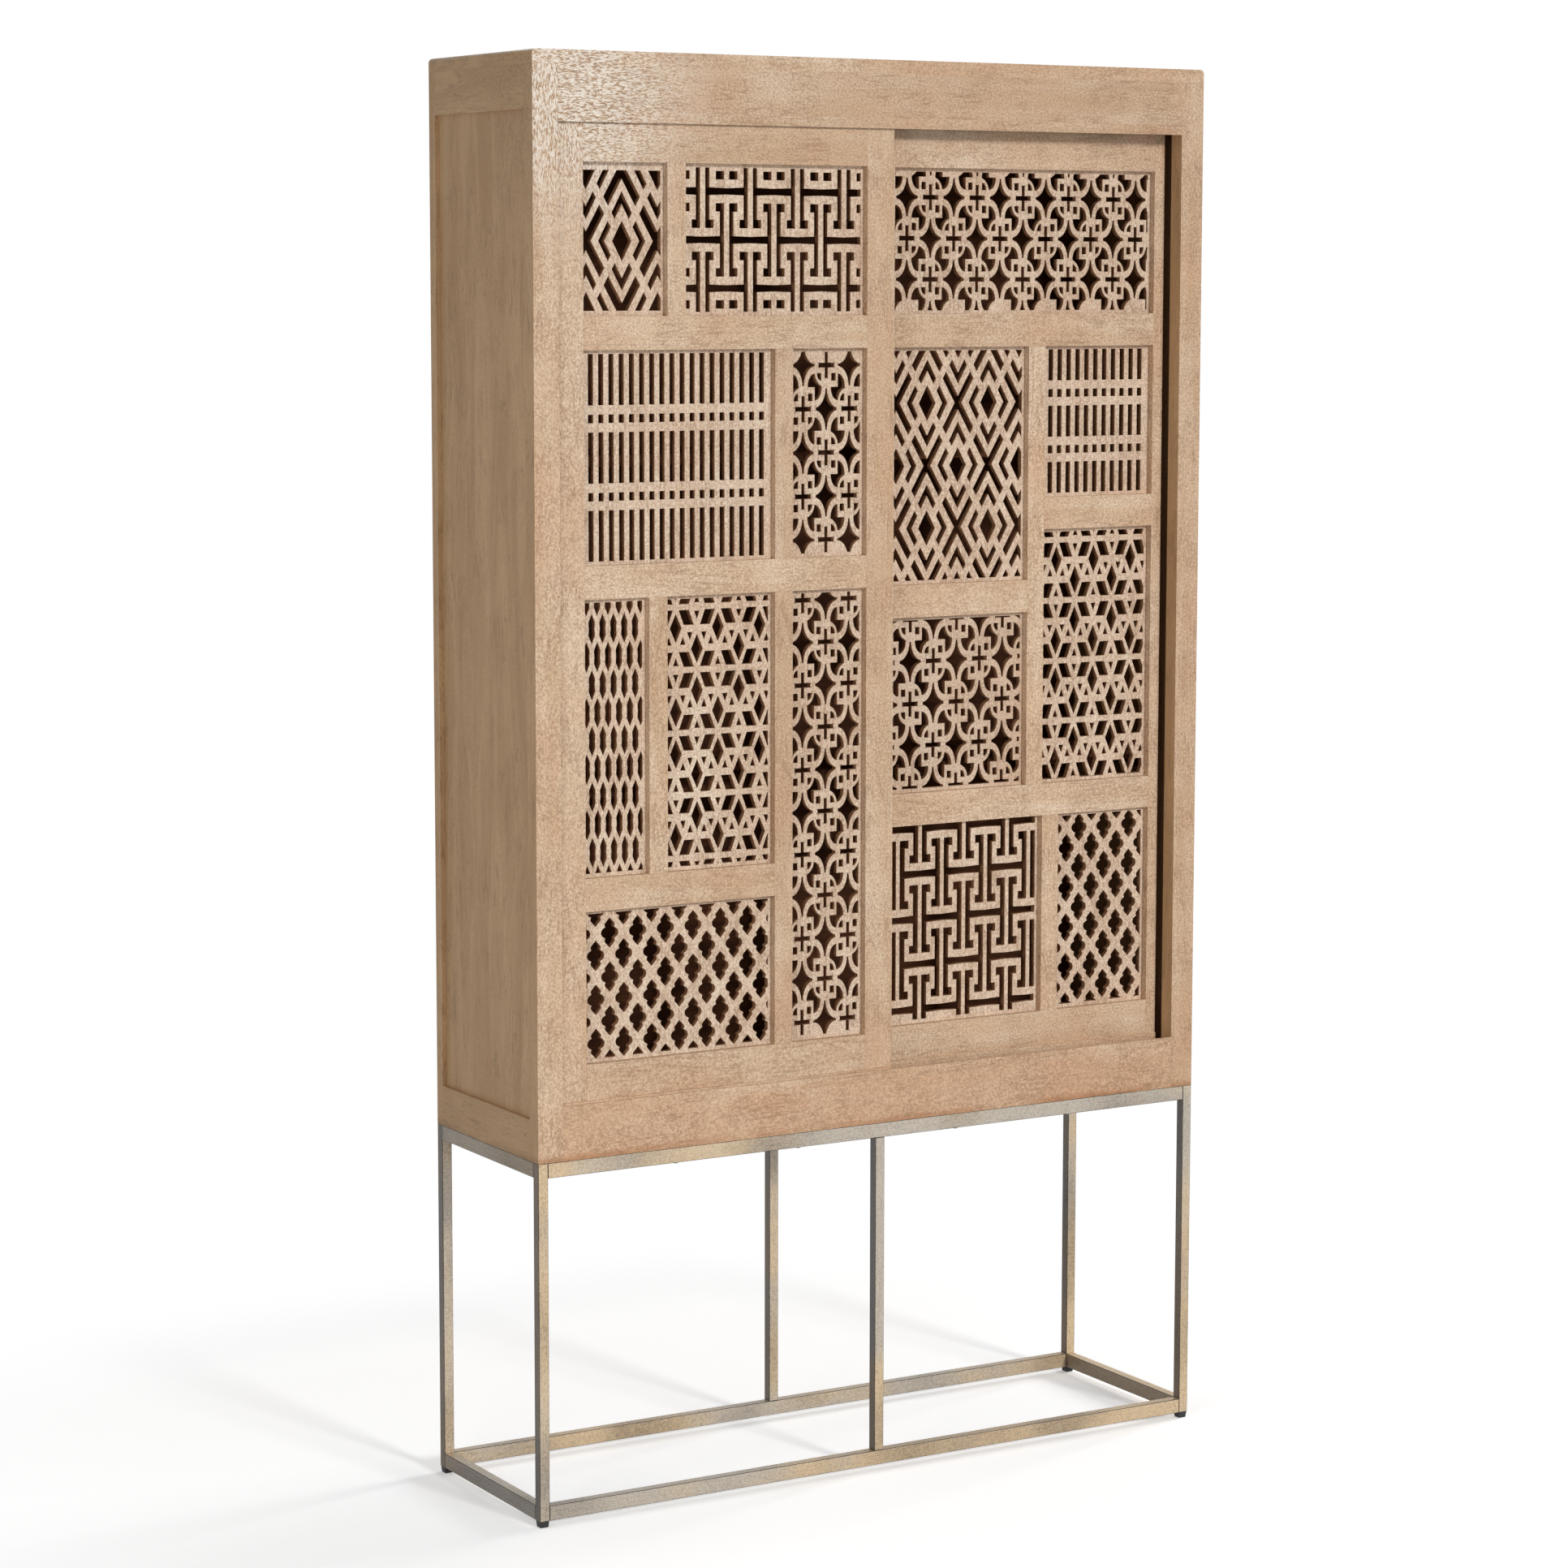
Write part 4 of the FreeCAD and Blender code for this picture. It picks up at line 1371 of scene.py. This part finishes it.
@dataclass
class StarPanel(FretPanel):
    """Six rhombs about each star, with small triangles where the strips cross."""

    pitch: float = 66.2
    row: float = 86.5
    rise: float = 0.0
    rhomb_share: Point = (0.71, 0.71)
    upright_share: Point = (0.83, 0.69)
    triangle_share: Point = (0.38, 0.38)

    @staticmethod
    def shrunk(corners: Outline, share: Point, place: Point) -> Layer:
        """Saw an outline that is shrunk about its middle and moved.

        Args:
            corners: the outline.
            share: the width and the height that are left.
            place: how far it moves.

        Returns:
            The opening.
        """
        u = sum(a for a, b in corners) / len(corners)
        v = sum(b for a, b in corners) / len(corners)
        left = [(u + (a - u) * share[0], v + (b - v) * share[1]) for a, b in corners]
        return Layer([(place[0] + a, place[1] + b) for a, b in left])

    def layers(self) -> Iterator[Layer]:
        """Saw the rhombs and the triangles.

        Yields:
            The layers.
        """
        step = self.pitch / 3
        half = step / 2
        rise = self.row / 3
        turns = [(step, 0.0), (half, rise), (-half, rise), (-step, 0.0), (-half, -rise), (half, -rise)]
        pairs = zip(turns, turns[1:] + turns[:1])
        rhombs = [[(0.0, 0.0), a, (a[0] + b[0], a[1] + b[1]), b] for a, b in pairs]
        triangles = [[(step, 0.0), (2 * step, 0.0), (3 * half, sign * rise)] for sign in SIGNS]
        for sign in SIGNS:
            triangles.append([(half * sign, rise), (3 * half * sign, rise), (step * sign, 2 * rise)])
            triangles.append([(half * sign, rise), (step * sign, 2 * rise), (0.0, 2 * rise)])
        for u, v, _ in self.lattice(self.pitch, self.row, self.rise):
            for i, rhomb in enumerate(rhombs):
                share = self.upright_share if i % 3 == 1 else self.rhomb_share
                yield self.shrunk(rhomb, share, (u, v))
            for triangle in triangles:
                yield self.shrunk(triangle, self.triangle_share, (u, v))


@dataclass
class FoilPanel(FretPanel):
    """Upright four-lobed openings on a centred lattice."""

    pitch: float = 42.6
    row: float = 29.4
    rise: float = 0.0
    shift: float = 0.0
    tip: float = 21.0
    notch: Point = (6.7, 7.8)
    shoulder: Point = (7.9, 11.6)
    shoulder_round: tuple[Point, ...] = ((-0.2, -1.6), (0.0, 0.0), (-0.9, 1.8))
    lobe: float = 6.9
    lobe_reach: float = 13.3
    lobe_turn: float = 68.0
    lobe_steps: int = 10

    def layers(self) -> Iterator[Layer]:
        """Saw the openings.

        Yields:
            The layers.
        """
        middle = (self.lobe_reach - self.lobe, 0.0)
        lobe = arc(middle, (self.lobe, self.lobe), -self.lobe_turn, self.lobe_turn, self.lobe_steps)
        upper = [self.notch, *((self.shoulder[0] + a, self.shoulder[1] + b) for a, b in self.shoulder_round)]
        right = [(0.0, -self.tip), *((a, -b) for a, b in reversed(upper)), *lobe, *upper]
        whole = right + [(-a, -b) for a, b in right]
        for u, v, _ in self.lattice(self.pitch, self.row, self.rise, self.shift):
            yield Layer([(u + a, v + b) for a, b in whole])


@dataclass
class SlidingDoor:
    """One sliding door: its frame members, its runner and its pierced panels."""

    name: str
    panels: list[FretPanel]
    # Whether the door takes the paler timber, painted light for a recessed door.
    pale: bool = False
    ease: float = 0.3 * MM

    def build(self, shop: Workshop) -> None:
        """Build the members and saw the panels.

        Args:
            shop: the workshop.
        """
        runs = {"left_stile": Grain.ALONG_Z, "right_stile": Grain.ALONG_Z, "muntins": Grain.ALONG_Z,
                "rails": Grain.ALONG_X, "runner": Grain.ALONG_X}
        wood = shop.finishes.pale if self.pale else shop.finishes.wood
        for part, grain in runs.items():
            shop.eased(f"{self.name}_{part}", self.ease, wood[grain], "washed_wood")
        for panel in self.panels:
            panel.build(shop)


@dataclass(frozen=True)
class Softbox:
    """A square lamp: its name, its place, its power in watts and its width."""

    name: str
    place: Place
    power: float
    size: float


@dataclass
class Studio:
    """A white floor, a soft sun, three softboxes, an even sky and the camera."""

    floor_half: float = 60.0
    floor_clear: float = 0.2 * MM
    floor_shown: Colour = (0.97, 0.97, 0.97, 1.0)
    floor_bounce: Colour = (0.5, 0.5, 0.5, 1.0)
    floor_lift: float = 0.275
    fade: Point = (0.85, 1.75)
    rear_fade: Point = (0.65, 1.25)
    sky: float = 0.25
    sun: float = 1.77
    sun_spread: float = 10.0
    sun_side: float = 9.0
    sun_height: float = 22.0
    sun_distance: float = 4.0
    boxes: tuple[Softbox, ...] = (Softbox("studio_softbox", (2.6, -7.4, 0.9), 60.0, 3.2),
                                  Softbox("studio_fill", (-2.3, -1.35, 1.15), 15.0, 1.0),
                                  Softbox("studio_side", (8.0, 0.8, 3.6), 440.0, 2.6))
    box_aim: Place = (0.0, 0.0, 1.15)
    camera_place: Place = (-3.0107, -4.9871, 1.7059)
    yaw: float = 30.550
    pitch: float = 6.484
    roll: float = -0.071
    focal_pixels: float = 5019.6
    shift: float = -0.03
    sight: float = 200.0

    def build(self) -> None:
        """Set the floor, the light and the camera."""
        self.world()
        self.floor()
        self.light()
        self.camera()
        bpy.context.scene.view_settings.view_transform = "Standard"

    @staticmethod
    def seen(sheet: Sheet) -> Value:
        """Tell the rays that show the background from those that light the cabinet.

        Args:
            sheet: the background's sheet.

        Returns:
            1 for a ray that shows it, else 0.
        """
        path = sheet.node("ShaderNodeLightPath", {}, {})
        rays = [Value(sheet, path.outputs[f"Is {kind} Ray"]) for kind in ("Camera", "Glossy", "Transmission")]
        return (rays[0] + rays[1] + rays[2]).between(0.0, 1.0)

    def world(self) -> None:
        """Light evenly from the sky, white where it is seen."""
        world = bpy.data.worlds.new("studio_sky")
        world.use_nodes = True
        bpy.context.scene.world = world
        sheet = Sheet(world.node_tree)
        lights = [{"Color": WHITE, "Strength": strength} for strength in (self.sky, 1.0)]
        lit, shown = (sheet.node("ShaderNodeBackground", {}, light).outputs[0] for light in lights)
        mixed = sheet.node("ShaderNodeMixShader", {}, {0: self.seen(sheet), 1: lit, 2: shown})
        sheet.node("ShaderNodeOutputWorld", {}, {"Surface": mixed.outputs[0]})

    def floor(self) -> None:
        """Lay a pale floor that keeps the shadow near the cabinet."""
        mesh = bpy.data.meshes.new("studio_floor")
        signs = ((-1, -1), (1, -1), (1, 1), (-1, 1))
        corners = [(x * self.floor_half, y * self.floor_half, -self.floor_clear) for x, y in signs]
        mesh.from_pydata(corners, [], [(0, 1, 2, 3)])
        material = bpy.data.materials.new("studio_floor")
        material.use_nodes = True
        sheet = Sheet(material.node_tree)
        place = sheet.place()
        around = sheet.apart(place, (0.0, 0.0, 0.0)).between(*self.fade)
        behind = sheet.axis(place, "Y").between(*self.rear_fade)
        far = 1 - (1 - around) * (1 - behind)
        seen = self.seen(sheet)
        pale = sheet.mix(seen, self.floor_bounce, self.floor_shown)
        lit = sheet.node("ShaderNodeBsdfDiffuse", {}, {"Color": pale})
        glow = {"Color": sheet.mix(seen, BLACK, WHITE), "Strength": self.floor_lift}
        lift = sheet.node("ShaderNodeEmission", {}, glow)
        near = sheet.node("ShaderNodeAddShader", {}, {0: lit.outputs[0], 1: lift.outputs[0]}).outputs[0]
        shown = sheet.node("ShaderNodeEmission", {}, {"Color": WHITE, "Strength": 1.0}).outputs[0]
        mixed = sheet.node("ShaderNodeMixShader", {}, {0: far * seen, 1: near, 2: shown})
        sheet.node("ShaderNodeOutputMaterial", {}, {"Surface": mixed.outputs[0]})
        mesh.materials.append(material)
        floor = stand("studio_floor", mesh)

    @staticmethod
    def hang(lamp: bpy.types.Light, place: Vector, back: Vector) -> Object:
        """Hang a lamp.

        Args:
            lamp: the lamp.
            place: where it hangs.
            back: the way that its back looks.

        Returns:
            The lamp's object.
        """
        thing = stand(lamp.name, lamp)
        thing.location = place
        thing.rotation_mode = "QUATERNION"
        thing.rotation_quaternion = back.to_track_quat("Z", "Y")
        return thing

    def light(self) -> None:
        """Stand the softboxes about the cabinet and hang a soft sun."""
        for box in self.boxes:
            lamp = bpy.data.lights.new(box.name, "AREA")
            lamp.size = box.size
            lamp.energy = box.power
            place = Vector(box.place)
            self.hang(lamp, place, place - Vector(self.box_aim)).visible_camera = False
        sun = bpy.data.lights.new("studio_sun", "SUN")
        sun.energy = self.sun
        sun.angle = math.radians(self.sun_spread)
        side = math.radians(self.sun_side)
        up = math.radians(self.sun_height)
        towards = Vector((math.sin(side) * math.cos(up), -math.cos(side) * math.cos(up), math.sin(up)))
        self.hang(sun, towards * self.sun_distance, towards)

    def camera(self) -> None:
        """Stand the camera at the photograph's angle."""
        yaw, pitch, roll = (math.radians(a) for a in (self.yaw, self.pitch, self.roll))
        right = Vector((math.cos(yaw), -math.sin(yaw), 0.0))
        ahead = Vector((math.sin(yaw) * math.cos(pitch), math.cos(yaw) * math.cos(pitch), -math.sin(pitch)))
        down = ahead.cross(right)
        level = right * math.cos(roll) + down * math.sin(roll)
        below = down * math.cos(roll) - right * math.sin(roll)
        lens = bpy.data.cameras.new("studio_camera")
        lens.sensor_width = SENSOR_MM
        lens.lens = self.focal_pixels / PHOTO_WIDTH * SENSOR_MM
        lens.shift_y = self.shift
        lens.clip_end = self.sight
        camera = stand("studio_camera", lens)
        turn = Matrix((level, -below, -ahead)).transposed()
        camera.matrix_world = Matrix.Translation(self.camera_place) @ turn.to_4x4()
        bpy.context.scene.camera = camera


def doors() -> list[SlidingDoor]:
    """Name the two doors and their panels.

    Returns:
        The front door on the left and the rear door on the right.
    """
    left: list[FretPanel] = [
        LozengePanel("left_lozenge_panel", top=10.5, bottom=7.0, half_width=54.5, half_height=95.0, rise=-2.3,
                     cross=0.435),
        KeyFretPanel("left_fret_panel"),
        SlatPanel("left_slat_panel"),
        RingPanel("left_short_ring_panel", closed=True),
        WavePanel("left_wave_panel"),
        StarPanel("left_star_panel"),
        RingPanel("left_tall_ring_panel", row=59.5, rise=5.0, closed=True),
        FoilPanel("left_foil_panel", pitch=43.4, row=30.4, rise=11.6, shift=23.7),
    ]
    right: list[FretPanel] = [
        RingPanel("right_wide_ring_panel", column=39.2, row=57.4, star_first=True, rise=4.0),
        LozengePanel("right_lozenge_panel"),
        SlatPanel("right_slat_panel"),
        StarPanel("right_star_panel", pitch=65.4, row=88.0, rise=-8.0),
        RingPanel("right_square_ring_panel", column=39.2, rise=1.0, cut_crosses=True),
        KeyFretPanel("right_fret_panel", top=0.0, rise=6.5, slot_width=8.2, bar=11.2, hook=(6.3, 11.5)),
        FoilPanel("right_foil_panel", pitch=44.4, rise=3.0, shift=8.8),
    ]
    # The rear door sits in the recess and takes the paler timber as painted light.
    return [SlidingDoor("left_door", left), SlidingDoor("right_door", right, pale=True)]


def main() -> None:
    """Build the cabinet piece by piece, then the studio."""
    logging.basicConfig(level=logging.INFO, format="%(name)s: %(message)s")
    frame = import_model()
    shop = Workshop(frame, Finishes(), random.Random(SEED))
    TubeBase().build(shop)
    CaseShell().build(shop)
    for door in doors():
        door.build(shop)
    Studio().build()


if __name__ == "__main__":
    main()
